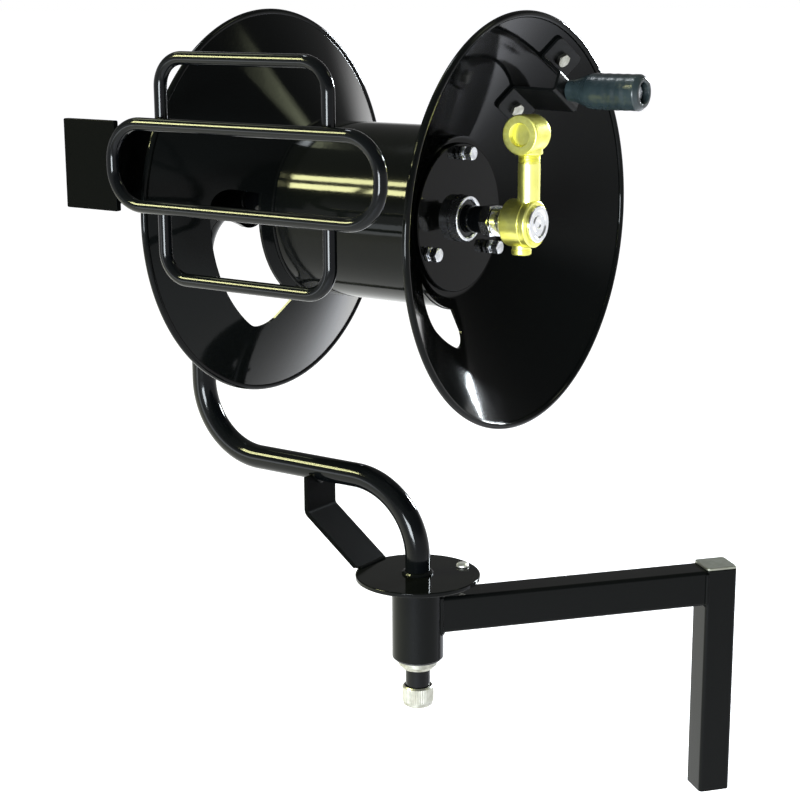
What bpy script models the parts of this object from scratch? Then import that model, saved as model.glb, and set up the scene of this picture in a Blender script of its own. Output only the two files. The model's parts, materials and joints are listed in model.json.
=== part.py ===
"""Pressure washer hose reel carried on a swinging pipe arm.

Metres, +Z up, +X along the reel's axle towards the crank.  The origin is on the outer
face of the square mounting post, at the middle of the length that a carrier holds.
Every moving piece hangs from an empty that stands on its joint's axis.
"""

from math import acos, asin, atan2, cos, hypot, pi, radians, sin, tan

import bmesh
import bpy
from mathutils import Matrix, Vector

# Clearances
GAP = 0.0003
RUNNING = 0.0005

# Fixed bracket: post, crossbar and pivot housing
TUBE_SIDE = 0.0365
BAR_HEIGHT = 0.040
TUBE_WALL = 0.003
TUBE_CORNER = 0.004
BAR_ANGLE = radians(50.9)
POST_REACH = 0.3470
POST_LENGTH = 0.2672
MOUNT_DROP = 0.227
BAR_DROP = 0.0372
CAP_THICKNESS = 0.003
HOUSING_RADIUS = 0.0278
HOUSING_BORE = 0.0222
HOUSING_HEIGHT = 0.0865
BUSH_LENGTH = 0.022
BUSH_FLANGE = 0.0015
BUSH_FLANGE_RADIUS = 0.0255

# Water pipe arm
PIPE_RADIUS = 0.01335
PIPE_BORE = 0.0104
PIPE_BENDS = (0.0, 0.080, 0.080, 0.070, 0.0)
PIPE_RECESS = 0.0005
RUN_HEIGHT = 0.103
RUN_LENGTH = 0.2935
AXLE_HEIGHT = 0.390
REEL_OFFSET = 0.0315
AXLE_END = 0.1375

# Swivel plate, gusset and foot of the pipe
PLATE_RADIUS = 0.0665
PLATE_THICKNESS = 0.005
PIN_RADIUS = 0.004
PIN_CIRCLE = 0.053
PIN_ANGLE = radians(59)
GUSSET_WIDTH = 0.050
GUSSET_THICKNESS = 0.005
GUSSET_X = -0.1300
GUSSET_BEND_Z = 0.058
GUSSET_TOP_Z = 0.098
GUSSET_FOOT_X = -0.0635
COLLAR_RADIUS = 0.021
COLLAR_HEIGHT = 0.0105
NUT_RADIUS = 0.017
NUT_TOP = -0.1185
NUT_HEIGHT = 0.0225

# Reel
DISC_RADIUS = 0.2025
DISC_HALF_GAP = 0.1617
DISC_SHEET = 0.0025
DISC_HUB_X = 0.0795
DISC_FLAT_RADIUS = 0.0795
DISC_BEAD = 0.0035
DISC_CENTRE_HOLE = 0.0200
DRUM_RADIUS = 0.0905
DRUM_WALL = 0.002
HUB_PLATE_RADIUS = 0.0745
HUB_PLATE_THICKNESS = 0.004
RING_RADIUS = 0.0230
RING_BORE = 0.0186
RING_LENGTH = 0.0152
HUB_BOLT_CIRCLE = 0.0645
HUB_BOLT_FIRST = radians(87)
BOLT_SHANK = 0.004
BOLT_HEAD_FLATS = 0.013
BOLT_HEAD_HEIGHT = 0.007
HUB_BOLT_STANDOFF = 0.0080
RIGHT_HOLE_RADII = (0.0915, 0.1310)
RIGHT_HOLE_ANGLES = (radians(217.4), radians(258.2))
RIGHT_HOLE_CORNER = 0.022
LEFT_HOLE_RADII = (0.1008, 0.1447)
LEFT_HOLE_ANGLES = (radians(167), radians(242))
LEFT_HOLE_CORNER = 0.019

# Axle end and brass swivel
NIPPLE_START = 0.1150
NIPPLE_FLATS = 0.030
NIPPLE_NECK = 0.0152
SWIVEL_RADIUS = 0.0232
SWIVEL_START = 0.1395
SWIVEL_END = 0.1720
GLAND_RADIUS = 0.0182
GLAND_LENGTH = 0.0035
RISER_X = 0.1635
RISER_RADIUS = 0.0100
ELBOW_Z = 0.0868
ELBOW_RADIUS = 0.0195
ELBOW_FRONT = -0.0190
ELBOW_BACK = 0.0150
SOCKET_RADIUS = 0.0138
SOCKET_FOOT = 0.0670
PORT_RADIUS = 0.0105
PORT_DEPTH = 0.012

# Crank
CRANK_ANGLE = radians(61.0)
CRANK_SHEET = 0.003
CRANK_WIDTH = 0.048
CRANK_WEB_X = 0.165
CRANK_WEB_RADII = (0.1315, 0.1510)
CRANK_EAR_RADII = ((0.1110, 0.1330), (0.1665, 0.1895))
CRANK_BOLT_RADII = (0.1230, 0.1785)
GRIP_REACH = 0.1425
GRIP_START = 0.1672
GRIP_END = 0.2500
GRIP_BASE_RADIUS = 0.0105
GRIP_RADIUS = 0.0178
SPINDLE_RADIUS = 0.0045
CRANK_NUT_FLATS = 0.013

# Hose guide in front of the reel
ROD_RADIUS = 0.00635
GUIDE_PLATE_FRONT = -0.2373
GUIDE_PLATE_THICKNESS = 0.006
GUIDE_PLATE_LEFT = -0.2245
GUIDE_PLATE_LAP = -0.0005
GUIDE_PLATE_Z = (0.0145, 0.1015)
GUIDE_ARM_X = -0.190
GUIDE_ARM_THICKNESS = 0.006
GUIDE_ARM_Z = (0.0165, 0.0920)
GUIDE_EYE_RADIUS = 0.030
WIDE_LOOP_X = (-0.1495, 0.162)
WIDE_LOOP_Z = (0.0228, 0.1005)
WIDE_LOOP_BEND = 0.036
TALL_LOOP_X = (-0.1010, 0.0965)
TALL_LOOP_Z = (-0.0460, 0.1620)
TALL_LOOP_BEND = 0.027


# Scene, materials and object helpers


def clear_scene():
    for obj in list(bpy.data.objects):
        bpy.data.objects.remove(obj, do_unlink=True)


def make_material(name, colour, roughness, metallic):
    """A Principled material with one piece's colour and finish."""
    material = bpy.data.materials.new(name)
    material.use_nodes = True
    shader = material.node_tree.nodes["Principled BSDF"]
    shader.inputs["Base Color"].default_value = (*colour, 1.0)
    shader.inputs["Roughness"].default_value = roughness
    shader.inputs["Metallic"].default_value = metallic
    return material


FINISHES = {
    "black_paint": ((0.012, 0.013, 0.014), 0.16, 0.0),
    "bare_steel": ((0.33, 0.34, 0.30), 0.45, 0.9),
    "zinc": ((0.72, 0.74, 0.76), 0.28, 1.0),
    "chrome": ((0.82, 0.83, 0.84), 0.12, 1.0),
    "brass": ((0.80, 0.62, 0.20), 0.30, 1.0),
    "grip_plastic": ((0.075, 0.105, 0.110), 0.42, 0.0),
    "bush_plastic": ((0.030, 0.030, 0.032), 0.50, 0.0),
}


def make_empty(name, location, parent=None, turn=0.0):
    empty = bpy.data.objects.new(name, None)
    bpy.context.collection.objects.link(empty)
    empty.location = location
    empty.rotation_euler = (0.0, 0.0, turn)
    empty.parent = parent
    return empty


def add_object(name, mesh, finish, parent, location=(0, 0, 0), rotation=(0, 0, 0)):
    obj = bpy.data.objects.new(name, mesh)
    bpy.context.collection.objects.link(obj)
    obj.parent = parent
    obj.location = location
    obj.rotation_euler = rotation
    mesh.materials.clear()
    mesh.materials.append(make_material(name + "_finish", *FINISHES[finish]))
    mesh.shade_smooth()
    mesh.set_sharp_from_angle(angle=radians(32))
    return obj


def to_mesh(name, bm):
    bmesh.ops.remove_doubles(bm, verts=bm.verts[:], dist=0.000002)
    bmesh.ops.recalc_face_normals(bm, faces=bm.faces[:])
    mesh = bpy.data.meshes.new(name)
    bm.to_mesh(mesh)
    bm.free()
    return mesh


def cutter(name, mesh, parent, location=(0, 0, 0), rotation=(0, 0, 0)):
    obj = bpy.data.objects.new(name, mesh)
    bpy.context.collection.objects.link(obj)
    obj.parent = parent
    obj.location = location
    obj.rotation_euler = rotation
    obj.hide_render = True
    obj.display_type = "WIRE"
    return obj


def boolean(obj, other, operation="DIFFERENCE"):
    modifier = obj.modifiers.new(other.name, "BOOLEAN")
    modifier.operation = operation
    modifier.solver = "EXACT"
    modifier.object = other
    return obj


# Shape helpers


def turned_mesh(name, profile, axis="X", steps=32):
    """A closed profile of (place along the axis, radius) spun round the axis."""
    bm = bmesh.new()
    if axis == "X":
        points = [Vector((along, radius, 0.0)) for along, radius in profile]
        spin_axis = Vector((1, 0, 0))
    elif axis == "Y":
        points = [Vector((0.0, along, radius)) for along, radius in profile]
        spin_axis = Vector((0, 1, 0))
    else:
        points = [Vector((radius, 0.0, along)) for along, radius in profile]
        spin_axis = Vector((0, 0, 1))
    verts = [bm.verts.new(point) for point in points]
    edges = [bm.edges.new((verts[i], verts[(i + 1) % len(verts)])) for i in range(len(verts))]
    bmesh.ops.spin(
        bm,
        geom=verts + edges,
        cent=(0, 0, 0),
        axis=spin_axis,
        angle=2 * pi,
        steps=steps,
        use_merge=True,
    )
    bmesh.ops.remove_doubles(bm, verts=bm.verts[:], dist=0.000002)
    bmesh.ops.dissolve_degenerate(bm, dist=0.000002, edges=bm.edges[:])
    loose = [edge for edge in bm.edges if not edge.link_faces]
    bmesh.ops.delete(bm, geom=loose, context="EDGES")
    return to_mesh(name, bm)


def ring_profile(start, end, bore, radius, chamfer=0.0008):
    """Half section of a ring with its two outer edges chamfered."""
    return [
        (start, bore),
        (start, radius - chamfer),
        (start + chamfer, radius),
        (end - chamfer, radius),
        (end, radius - chamfer),
        (end, bore),
    ]


def cylinder_mesh(name, start, end, radius, axis="X", steps=24):
    """A plain rod, also used as a drill."""
    bm = bmesh.new()
    bmesh.ops.create_cone(
        bm,
        cap_ends=True,
        segments=steps,
        radius1=radius,
        radius2=radius,
        depth=end - start,
    )
    bmesh.ops.translate(bm, verts=bm.verts[:], vec=(0, 0, (start + end) / 2))
    if axis == "X":
        bmesh.ops.rotate(bm, verts=bm.verts[:], cent=(0, 0, 0), matrix=Matrix.Rotation(pi / 2, 3, "Y"))
    elif axis == "Y":
        bmesh.ops.rotate(bm, verts=bm.verts[:], cent=(0, 0, 0), matrix=Matrix.Rotation(-pi / 2, 3, "X"))
    return to_mesh(name, bm)


def slab_mesh(name, outline, start, end, place):
    """A flat outline pushed through from start to end; place maps (u, v, depth) to a point."""
    bm = bmesh.new()
    face = bm.faces.new([bm.verts.new(place(u, v, start)) for u, v in outline])
    pushed = bmesh.ops.extrude_face_region(bm, geom=[face])
    moved = [item for item in pushed["geom"] if isinstance(item, bmesh.types.BMVert)]
    offset = Vector(place(0, 0, end)) - Vector(place(0, 0, start))
    bmesh.ops.translate(bm, verts=moved, vec=offset)
    return to_mesh(name, bm)


def loft_mesh(name, rings, hollow=False):
    """Rings of equally many points joined by faces; the ends are closed or joined."""
    bm = bmesh.new()
    rows = [[bm.verts.new(point) for point in ring] for ring in rings]
    count = len(rows[0])
    pairs = list(zip(rows[:-1], rows[1:]))
    if hollow:
        pairs.append((rows[-1], rows[0]))
    else:
        bm.faces.new(rows[0])
        bm.faces.new(rows[-1])
    for low, high in pairs:
        for i in range(count):
            j = (i + 1) % count
            bm.faces.new((low[i], low[j], high[j], high[i]))
    return to_mesh(name, bm)


def rounded_oblong(width, height, corner, steps=3):
    """Outline of an oblong with rounded corners."""
    points = []
    for quarter, (sx, sy) in enumerate(((1, 1), (-1, 1), (-1, -1), (1, -1))):
        for step in range(steps + 1):
            angle = quarter * pi / 2 + step * pi / 2 / steps
            x = sx * (width / 2 - corner) + corner * cos(angle)
            y = sy * (height / 2 - corner) + corner * sin(angle)
            points.append((x, y))
    return points


def hexagon(flats, radius):
    """Twelve points on a hexagon, drawn in to a circle of the given radius where it is smaller."""
    points = []
    for step in range(12):
        angle = step * pi / 6
        edge = flats / 2 if step % 2 else flats / 2 / cos(pi / 6)
        reach = min(edge, radius)
        points.append((reach * cos(angle), reach * sin(angle)))
    return points


def circle(radius, steps=12):
    return [(radius * cos(i * 2 * pi / steps), radius * sin(i * 2 * pi / steps)) for i in range(steps)]


def rounded_path(corners, bends, steps, closed=False):
    """A path through the corners with a circular bend at each one, each of its own radius."""
    corners = [Vector(corner) for corner in corners]
    count = len(corners)
    path = []
    for i, (corner, bend) in enumerate(zip(corners, bends)):
        if not closed and i in (0, count - 1):
            path.append(corner)
            continue
        to_last = (corners[i - 1] - corner).normalized()
        to_next = (corners[(i + 1) % count] - corner).normalized()
        half = acos(max(-1.0, min(1.0, to_last.dot(to_next)))) / 2
        middle = (to_last + to_next).normalized()
        centre = corner + middle * bend / sin(half)
        start = corner + to_last * bend / tan(half) - centre
        end = corner + to_next * bend / tan(half) - centre
        for step in range(steps + 1):
            path.append(centre + start.slerp(end, step / steps).normalized() * bend)
    return path


def rod_mesh(name, path, radius, sides, closed=False):
    """A round rod along a path, made with a bevelled curve and turned into a mesh."""
    curve = bpy.data.curves.new(name, "CURVE")
    curve.dimensions = "3D"
    curve.bevel_depth = radius
    curve.bevel_resolution = sides // 4 - 1
    curve.use_fill_caps = not closed
    spline = curve.splines.new("POLY")
    spline.points.add(len(path) - 1)
    for point, place in zip(spline.points, path):
        point.co = (*place, 1.0)
    spline.use_cyclic_u = closed
    holder = bpy.data.objects.new(name, curve)
    bpy.context.collection.objects.link(holder)
    mesh = bpy.data.meshes.new_from_object(holder)
    bpy.data.objects.remove(holder, do_unlink=True)
    bm = bmesh.new()
    bm.from_mesh(mesh)
    bpy.data.meshes.remove(mesh)
    return to_mesh(name, bm)


def strip_outline(path, thickness):
    """Outline of a folded strip seen edge on, with mitred folds."""
    sides = ([], [])
    for i, (x, y) in enumerate(path):
        before = path[max(i - 1, 0)]
        after = path[min(i + 1, len(path) - 1)]
        turn_in = atan2(y - before[1], x - before[0]) if i else None
        turn_out = atan2(after[1] - y, after[0] - x) if i < len(path) - 1 else None
        if turn_in is None:
            turn_in = turn_out
        if turn_out is None:
            turn_out = turn_in
        half = (turn_out - turn_in) / 2
        normal = (turn_in + turn_out) / 2 + pi / 2
        reach = thickness / 2 / cos(half)
        sides[0].append((x + reach * cos(normal), y + reach * sin(normal)))
        sides[1].append((x - reach * cos(normal), y - reach * sin(normal)))
    return sides[0] + sides[1][::-1]


# Fixed bracket


def tube_rings(width, height, start, end, place):
    """Four rings that bound a tube with rounded corners: outside, then inside."""
    outer = rounded_oblong(width, height, TUBE_CORNER)
    inner = rounded_oblong(width - 2 * TUBE_WALL, height - 2 * TUBE_WALL, TUBE_CORNER - 0.6 * TUBE_WALL)
    ends = ((outer, start), (outer, end), (inner, end), (inner, start))
    return [[place(u, v, along) for u, v in line] for line, along in ends]


def build_bracket(bracket):
    bar_top = BAR_HEIGHT / 2 - BAR_DROP
    cap_bottom = bar_top + GAP
    cap_top = cap_bottom + CAP_THICKNESS
    rings = tube_rings(TUBE_SIDE, TUBE_SIDE, cap_top - POST_LENGTH, bar_top, lambda u, v, z: (u, v, z))
    mesh = loft_mesh("mounting_post", rings, hollow=True)
    add_object("mounting_post", mesh, "black_paint", bracket, (POST_REACH, 0, 0))
    outline = rounded_oblong(TUBE_SIDE - 0.0004, TUBE_SIDE - 0.0004, TUBE_CORNER)
    trimmed = rounded_oblong(TUBE_SIDE - 0.0020, TUBE_SIDE - 0.0020, TUBE_CORNER)
    rings = [
        [(u, v, cap_bottom) for u, v in outline],
        [(u, v, cap_top - 0.0008) for u, v in outline],
        [(u, v, cap_top) for u, v in trimmed],
    ]
    add_object("post_cap", loft_mesh("post_cap", rings), "bare_steel", bracket, (POST_REACH, 0, 0))

    bar_end = POST_REACH - TUBE_SIDE / 2 - GAP
    rings = tube_rings(TUBE_SIDE, BAR_HEIGHT, 0.014, bar_end, lambda u, v, x: (x, u, v))
    mesh = loft_mesh("crossbar", rings, hollow=True)
    bar = add_object("crossbar", mesh, "black_paint", bracket, (0, 0, -BAR_DROP))
    cope = cylinder_mesh("crossbar_cope", -0.10, 0.0, HOUSING_RADIUS + GAP, "Z", 32)
    boolean(bar, cutter("crossbar_cope", cope, bracket))

    housing = ring_profile(-HOUSING_HEIGHT, 0.0, HOUSING_BORE, HOUSING_RADIUS, 0.0012)
    add_object("pivot_housing", turned_mesh("pivot_housing", housing, "Z", 32), "black_paint", bracket)


def build_bushes(bracket):
    """Flanged bushes in the two ends of the pivot housing, round the pipe."""
    bore = PIPE_RADIUS + RUNNING
    body = HOUSING_BORE - RUNNING
    top = [
        (-BUSH_LENGTH, bore),
        (-BUSH_LENGTH, body),
        (GAP, body),
        (GAP, BUSH_FLANGE_RADIUS),
        (GAP + BUSH_FLANGE, BUSH_FLANGE_RADIUS),
        (GAP + BUSH_FLANGE, bore),
    ]
    bottom = [(-HOUSING_HEIGHT - along, radius) for along, radius in top]
    add_object("upper_bush", turned_mesh("upper_bush", top, "Z", 24), "bush_plastic", bracket)
    add_object("lower_bush", turned_mesh("lower_bush", bottom, "Z", 24), "bush_plastic", bracket)


# Swinging arm


def build_pipe(swing):
    """One bent pipe: foot, run under the reel, riser outside it and the axle."""
    foot = NUT_TOP - NUT_HEIGHT + PIPE_RECESS
    corners = [
        (0, 0, foot),
        (0, 0, RUN_HEIGHT),
        (-RUN_LENGTH, 0, RUN_HEIGHT),
        (-RUN_LENGTH, 0, AXLE_HEIGHT),
        (AXLE_END - REEL_OFFSET, 0, AXLE_HEIGHT),
    ]
    outside = rod_mesh("water_pipe", rounded_path(corners, PIPE_BENDS, 8), PIPE_RADIUS, 16)
    pipe = add_object("water_pipe", outside, "black_paint", swing)
    corners[0] = (0, 0, foot - 0.01)
    corners[-1] = (AXLE_END - REEL_OFFSET + 0.01, 0, AXLE_HEIGHT)
    bore = rod_mesh("water_pipe_bore", rounded_path(corners, PIPE_BENDS, 8), PIPE_BORE, 12)
    return boolean(pipe, cutter("water_pipe_bore", bore, swing))


def build_swivel_plate(swing):
    bottom = 2 * GAP + BUSH_FLANGE
    profile = ring_profile(bottom, bottom + PLATE_THICKNESS, PIPE_RADIUS + GAP, PLATE_RADIUS, 0.0010)
    plate = add_object("swivel_plate", turned_mesh("swivel_plate", profile, "Z", 40), "black_paint", swing)
    place = (PIN_CIRCLE * cos(PIN_ANGLE), PIN_CIRCLE * sin(PIN_ANGLE), 0)
    hole = cylinder_mesh("swivel_plate_hole", -0.01, 0.02, PIN_RADIUS + GAP, "Z", 16)
    boolean(plate, cutter("swivel_plate_hole", hole, swing, place))
    top = bottom + PLATE_THICKNESS + GAP
    pin = [
        (-0.010, 0.0),
        (-0.010, PIN_RADIUS - 0.001),
        (-0.009, PIN_RADIUS),
        (top, PIN_RADIUS),
        (top, 0.0068),
        (top + 0.0022, 0.0066),
        (top + 0.0040, 0.0045),
        (top + 0.0045, 0.0),
    ]
    add_object("swivel_plate_pin", turned_mesh("swivel_plate_pin", pin, "Z", 16), "zinc", swing, place)


def build_gusset(swing):
    """Bent flat bar from under the pipe's run down to the plate's edge."""
    foot = 2 * GAP + BUSH_FLANGE + PLATE_THICKNESS + GAP
    path = [(GUSSET_X, GUSSET_TOP_Z), (GUSSET_X, GUSSET_BEND_Z), (GUSSET_FOOT_X, foot)]
    outline = strip_outline(path, GUSSET_THICKNESS)
    slope = (foot - GUSSET_BEND_Z) / (GUSSET_FOOT_X - GUSSET_X)
    for i in (2, 3):
        x, z = outline[i]
        outline[i] = (x + (foot - z) / slope, foot)
    half = GUSSET_WIDTH / 2
    mesh = slab_mesh("arm_gusset", outline, -half, half, lambda u, v, w: (u, w, v))
    gusset = add_object("arm_gusset", mesh, "black_paint", swing)
    notch = cylinder_mesh("arm_gusset_notch", -0.16, -0.09, PIPE_RADIUS + GAP, "X", 32)
    boolean(gusset, cutter("arm_gusset_notch", notch, swing, (0, 0, RUN_HEIGHT)))
    bevel = gusset.modifiers.new("edges", "BEVEL")
    bevel.width = 0.0006
    bevel.segments = 1
    bevel.limit_method = "ANGLE"
    bevel.angle_limit = radians(60)


def build_foot(swing):
    top = -HOUSING_HEIGHT - 2 * GAP - BUSH_FLANGE
    bore = PIPE_RADIUS + GAP
    collar = [
        (top, bore),
        (top, COLLAR_RADIUS - 0.0008),
        (top - 0.0008, COLLAR_RADIUS),
        (top - 0.0062, COLLAR_RADIUS),
        (top - 0.0075, COLLAR_RADIUS - 0.0030),
        (top - COLLAR_HEIGHT, COLLAR_RADIUS - 0.0045),
        (top - COLLAR_HEIGHT, bore),
    ]
    add_object("lower_collar", turned_mesh("lower_collar", collar, "Z", 24), "zinc", swing)


def build_inlet_nut(inlet):
    """Ring nut that turns freely on the foot of the pipe."""
    bore = PIPE_RADIUS + RUNNING
    half = NUT_HEIGHT / 2
    profile = [
        (half, bore),
        (half, NUT_RADIUS - 0.0020),
        (half - 0.0025, NUT_RADIUS),
        (-half + 0.0045, NUT_RADIUS),
        (-half + 0.0015, NUT_RADIUS - 0.0012),
        (-half, NUT_RADIUS - 0.0030),
        (-half, bore),
    ]
    add_object("inlet_nut", turned_mesh("inlet_nut", profile, "Z", 24), "zinc", inlet)


def build_nipple(centre):
    """Hexagon nipple screwed on the axle's open end."""
    bore = (PIPE_RADIUS + GAP) / cos(pi / 12)
    hexagon_end = NIPPLE_START + 0.011
    end = SWIVEL_START - RUNNING
    corner = NIPPLE_FLATS / 2 / cos(pi / 6)
    rings = [
        (NIPPLE_START, circle(bore)),
        (NIPPLE_START, hexagon(NIPPLE_FLATS, NIPPLE_FLATS / 2)),
        (NIPPLE_START + 0.0012, hexagon(NIPPLE_FLATS, corner)),
        (hexagon_end - 0.0012, hexagon(NIPPLE_FLATS, corner)),
        (hexagon_end, hexagon(NIPPLE_FLATS, NIPPLE_FLATS / 2)),
        (end, circle(NIPPLE_NECK)),
        (end, circle(bore)),
    ]
    points = [[(x, u, v) for u, v in ring] for x, ring in rings]
    add_object("axle_nipple", loft_mesh("axle_nipple", points, hollow=True), "chrome", centre)


# Hose guide, carried by the arm


def guide_arm_outline():
    """Flat bar from the guide plate back to an eye round the axle."""
    low, high = GUIDE_ARM_Z
    front = GUIDE_PLATE_FRONT + GUIDE_PLATE_THICKNESS + GAP
    points = [(front, low), (front, high), (-0.060, high)]
    for step in range(13):
        angle = radians(62) - step * radians(185) / 12
        points.append((GUIDE_EYE_RADIUS * cos(angle), GUIDE_EYE_RADIUS * sin(angle)))
    points.append((-0.120, low))
    return points


def build_guide(centre):
    half = GUIDE_ARM_THICKNESS / 2
    arm_mesh = slab_mesh("guide_arm", guide_arm_outline(), -half, half, lambda u, v, w: (w, u, v))
    arm = add_object("guide_arm", arm_mesh, "black_paint", centre, (GUIDE_ARM_X, 0, 0))
    eye = cylinder_mesh("guide_arm_eye", -0.02, 0.02, PIPE_RADIUS + GAP, "X", 24)
    boolean(arm, cutter("guide_arm_eye", eye, centre, (GUIDE_ARM_X, 0, 0)))

    left, right = GUIDE_PLATE_LEFT, WIDE_LOOP_X[0] + GUIDE_PLATE_LAP
    low, high = GUIDE_PLATE_Z
    outline = [(left, low), (right, low), (right, high), (left, high)]
    back = GUIDE_PLATE_FRONT + GUIDE_PLATE_THICKNESS
    mesh = slab_mesh("guide_plate", outline, GUIDE_PLATE_FRONT, back, lambda u, v, w: (u, w, v))
    plate = add_object("guide_plate", mesh, "black_paint", centre)
    bevel = plate.modifiers.new("edges", "BEVEL")
    bevel.width = 0.0008
    bevel.segments = 1

    wide_y = GUIDE_PLATE_FRONT - GAP - ROD_RADIUS
    tall_y = wide_y + 2 * ROD_RADIUS + GAP
    loops = (
        ("guide_loop_wide", WIDE_LOOP_X, WIDE_LOOP_Z, WIDE_LOOP_BEND, wide_y),
        ("guide_loop_tall", TALL_LOOP_X, TALL_LOOP_Z, TALL_LOOP_BEND, tall_y),
    )
    for name, (left, right), (low, high), bend, depth in loops:
        corners = [(left, depth, low), (right, depth, low), (right, depth, high), (left, depth, high)]
        path = rounded_path(corners, [bend] * 4, 6, closed=True)
        add_object(name, rod_mesh(name, path, ROD_RADIUS, 12, closed=True), "black_paint", centre)


# Reel


def disc_profile():
    """Half section of a spun disc: flat centre, cone and rolled rim."""
    outer = DISC_HUB_X
    inner = DISC_HUB_X - DISC_SHEET
    rim_x = DISC_HALF_GAP - DISC_BEAD
    rim_r = DISC_RADIUS - DISC_BEAD
    slope = (rim_x - outer) / (rim_r - DISC_FLAT_RADIUS)
    lean = atan2(rim_x - outer, rim_r - DISC_FLAT_RADIUS)
    shift = DISC_SHEET * tan(lean / 2)
    knee = 0.006
    points = [
        (inner, DISC_CENTRE_HOLE),
        (inner, DISC_FLAT_RADIUS + shift - knee * 0.3),
        (inner + slope * knee * 0.35, DISC_FLAT_RADIUS + shift + knee * 0.6),
    ]
    bead_x = rim_x - DISC_SHEET / 2 * cos(lean)
    bead_r = rim_r + DISC_SHEET / 2 * sin(lean)
    turn = pi - asin(DISC_SHEET / 2 / DISC_BEAD)
    for step in range(8):
        angle = lean - turn + step * 2 * turn / 7
        points.append((bead_x + DISC_BEAD * sin(angle), bead_r + DISC_BEAD * cos(angle)))
    points.append((outer + slope * knee * 0.65, DISC_FLAT_RADIUS + knee * 0.6))
    points.append((outer, DISC_FLAT_RADIUS - knee * 0.3))
    points.append((outer, DISC_CENTRE_HOLE))
    return points


def hose_hole_outline(side):
    """Outline in Y and Z of the hole beside the drum that the hose goes through."""
    inner, outer = RIGHT_HOLE_RADII if side > 0 else LEFT_HOLE_RADII
    low, high = RIGHT_HOLE_ANGLES if side > 0 else LEFT_HOLE_ANGLES
    corner = RIGHT_HOLE_CORNER if side > 0 else LEFT_HOLE_CORNER
    reach = outer - corner
    trim = asin(corner / reach)
    points = []
    for step in range(6):
        angle = low + trim - pi / 2 + step * pi / 10
        y = reach * cos(low + trim) + corner * cos(angle)
        points.append((y, reach * sin(low + trim) + corner * sin(angle)))
    for step in range(1, 8):
        angle = low + trim + step * (high - low - 2 * trim) / 8
        points.append((outer * cos(angle), outer * sin(angle)))
    for step in range(6):
        angle = high - trim + step * pi / 10
        y = reach * cos(high - trim) + corner * cos(angle)
        points.append((y, reach * sin(high - trim) + corner * sin(angle)))
    for step in range(7):
        angle = high + step * (low - high) / 6
        points.append((inner * cos(angle), inner * sin(angle)))
    return points


def bolt_places():
    return [HUB_BOLT_FIRST + turn * 2 * pi / 3 for turn in range(3)]


def crank_place(radius, along, across=0.0):
    """Point from its distance to the axle, its X and its sideways offset."""
    return (
        along,
        radius * cos(CRANK_ANGLE) - across * sin(CRANK_ANGLE),
        radius * sin(CRANK_ANGLE) + across * cos(CRANK_ANGLE),
    )


def cone_x(radius):
    """X of the right disc's outer face at a radius on its cone."""
    rim_x = DISC_HALF_GAP - DISC_BEAD
    rim_r = DISC_RADIUS - DISC_BEAD
    return DISC_HUB_X + (radius - DISC_FLAT_RADIUS) * (rim_x - DISC_HUB_X) / (rim_r - DISC_FLAT_RADIUS)


def cone_lean():
    """Angle between the cone and a plane across the axle."""
    low, high = CRANK_BOLT_RADII
    return atan2(cone_x(high) - cone_x(low), high - low)


def ear_seat(radius):
    """Middle of a flat ear that rests on the hollow cone along its two side edges."""
    lift = CRANK_SHEET / 2 / cos(cone_lean()) + 2 * GAP
    return (radius, cone_x(hypot(radius, CRANK_WIDTH / 2)) + lift)


def ear_height(radius):
    """Height of an ear's outer face over the cone, square to the cone."""
    return (ear_seat(radius)[1] - cone_x(radius)) * cos(cone_lean()) + CRANK_SHEET / 2


def cone_normal():
    """Rotation that turns +X onto the outward normal of the cone at the crank."""
    lean = cone_lean()
    normal = Vector(crank_place(-sin(lean), cos(lean)))
    return Vector((1, 0, 0)).rotation_difference(normal).to_euler()


def build_disc(side, reel):
    name = "right_disc" if side > 0 else "left_disc"
    profile = [(side * along, radius) for along, radius in disc_profile()]
    disc = add_object(name, turned_mesh(name, profile, "X", 48), "black_paint", reel)
    outline = hose_hole_outline(side)
    ends = (side * 0.05, side * 0.16)
    hole = slab_mesh(name + "_hose_hole", outline, min(ends), max(ends), lambda u, v, w: (w, u, v))
    boolean(disc, cutter(name + "_hose_hole", hole, reel))
    for number, angle in enumerate(bolt_places(), 1):
        drill = cylinder_mesh(name + "_drill", 0.060, 0.100, BOLT_SHANK + GAP, "X", 12)
        place = (0, HUB_BOLT_CIRCLE * cos(angle), HUB_BOLT_CIRCLE * sin(angle))
        turn = (0, 0, 0) if side > 0 else (0, 0, pi)
        boolean(disc, cutter(f"{name}_drill_{number}", drill, reel, place, turn))
    if side > 0:
        for number, radius in enumerate(CRANK_BOLT_RADII, 1):
            drill = cylinder_mesh("crank_drill", -0.010, 0.010, BOLT_SHANK + GAP, "X", 12)
            place = crank_place(radius, cone_x(radius))
            boolean(disc, cutter(f"{name}_crank_drill_{number}", drill, reel, place, cone_normal()))
    return disc


def bolt_mesh(name, under_head, tip):
    """Hexagon bolt along X: head above under_head, shank down to tip."""
    corner = BOLT_HEAD_FLATS / 2 / cos(pi / 6)
    flats = BOLT_HEAD_FLATS / 2
    head = under_head + BOLT_HEAD_HEIGHT
    rings = [
        (tip, circle(BOLT_SHANK - 0.0008)),
        (tip + 0.0008, circle(BOLT_SHANK)),
        (under_head, circle(BOLT_SHANK)),
        (under_head, hexagon(BOLT_HEAD_FLATS, corner)),
        (head - 0.0012, hexagon(BOLT_HEAD_FLATS, corner)),
        (head, hexagon(BOLT_HEAD_FLATS, flats)),
    ]
    return loft_mesh(name, [[(x, u, v) for u, v in ring] for x, ring in rings])


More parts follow.
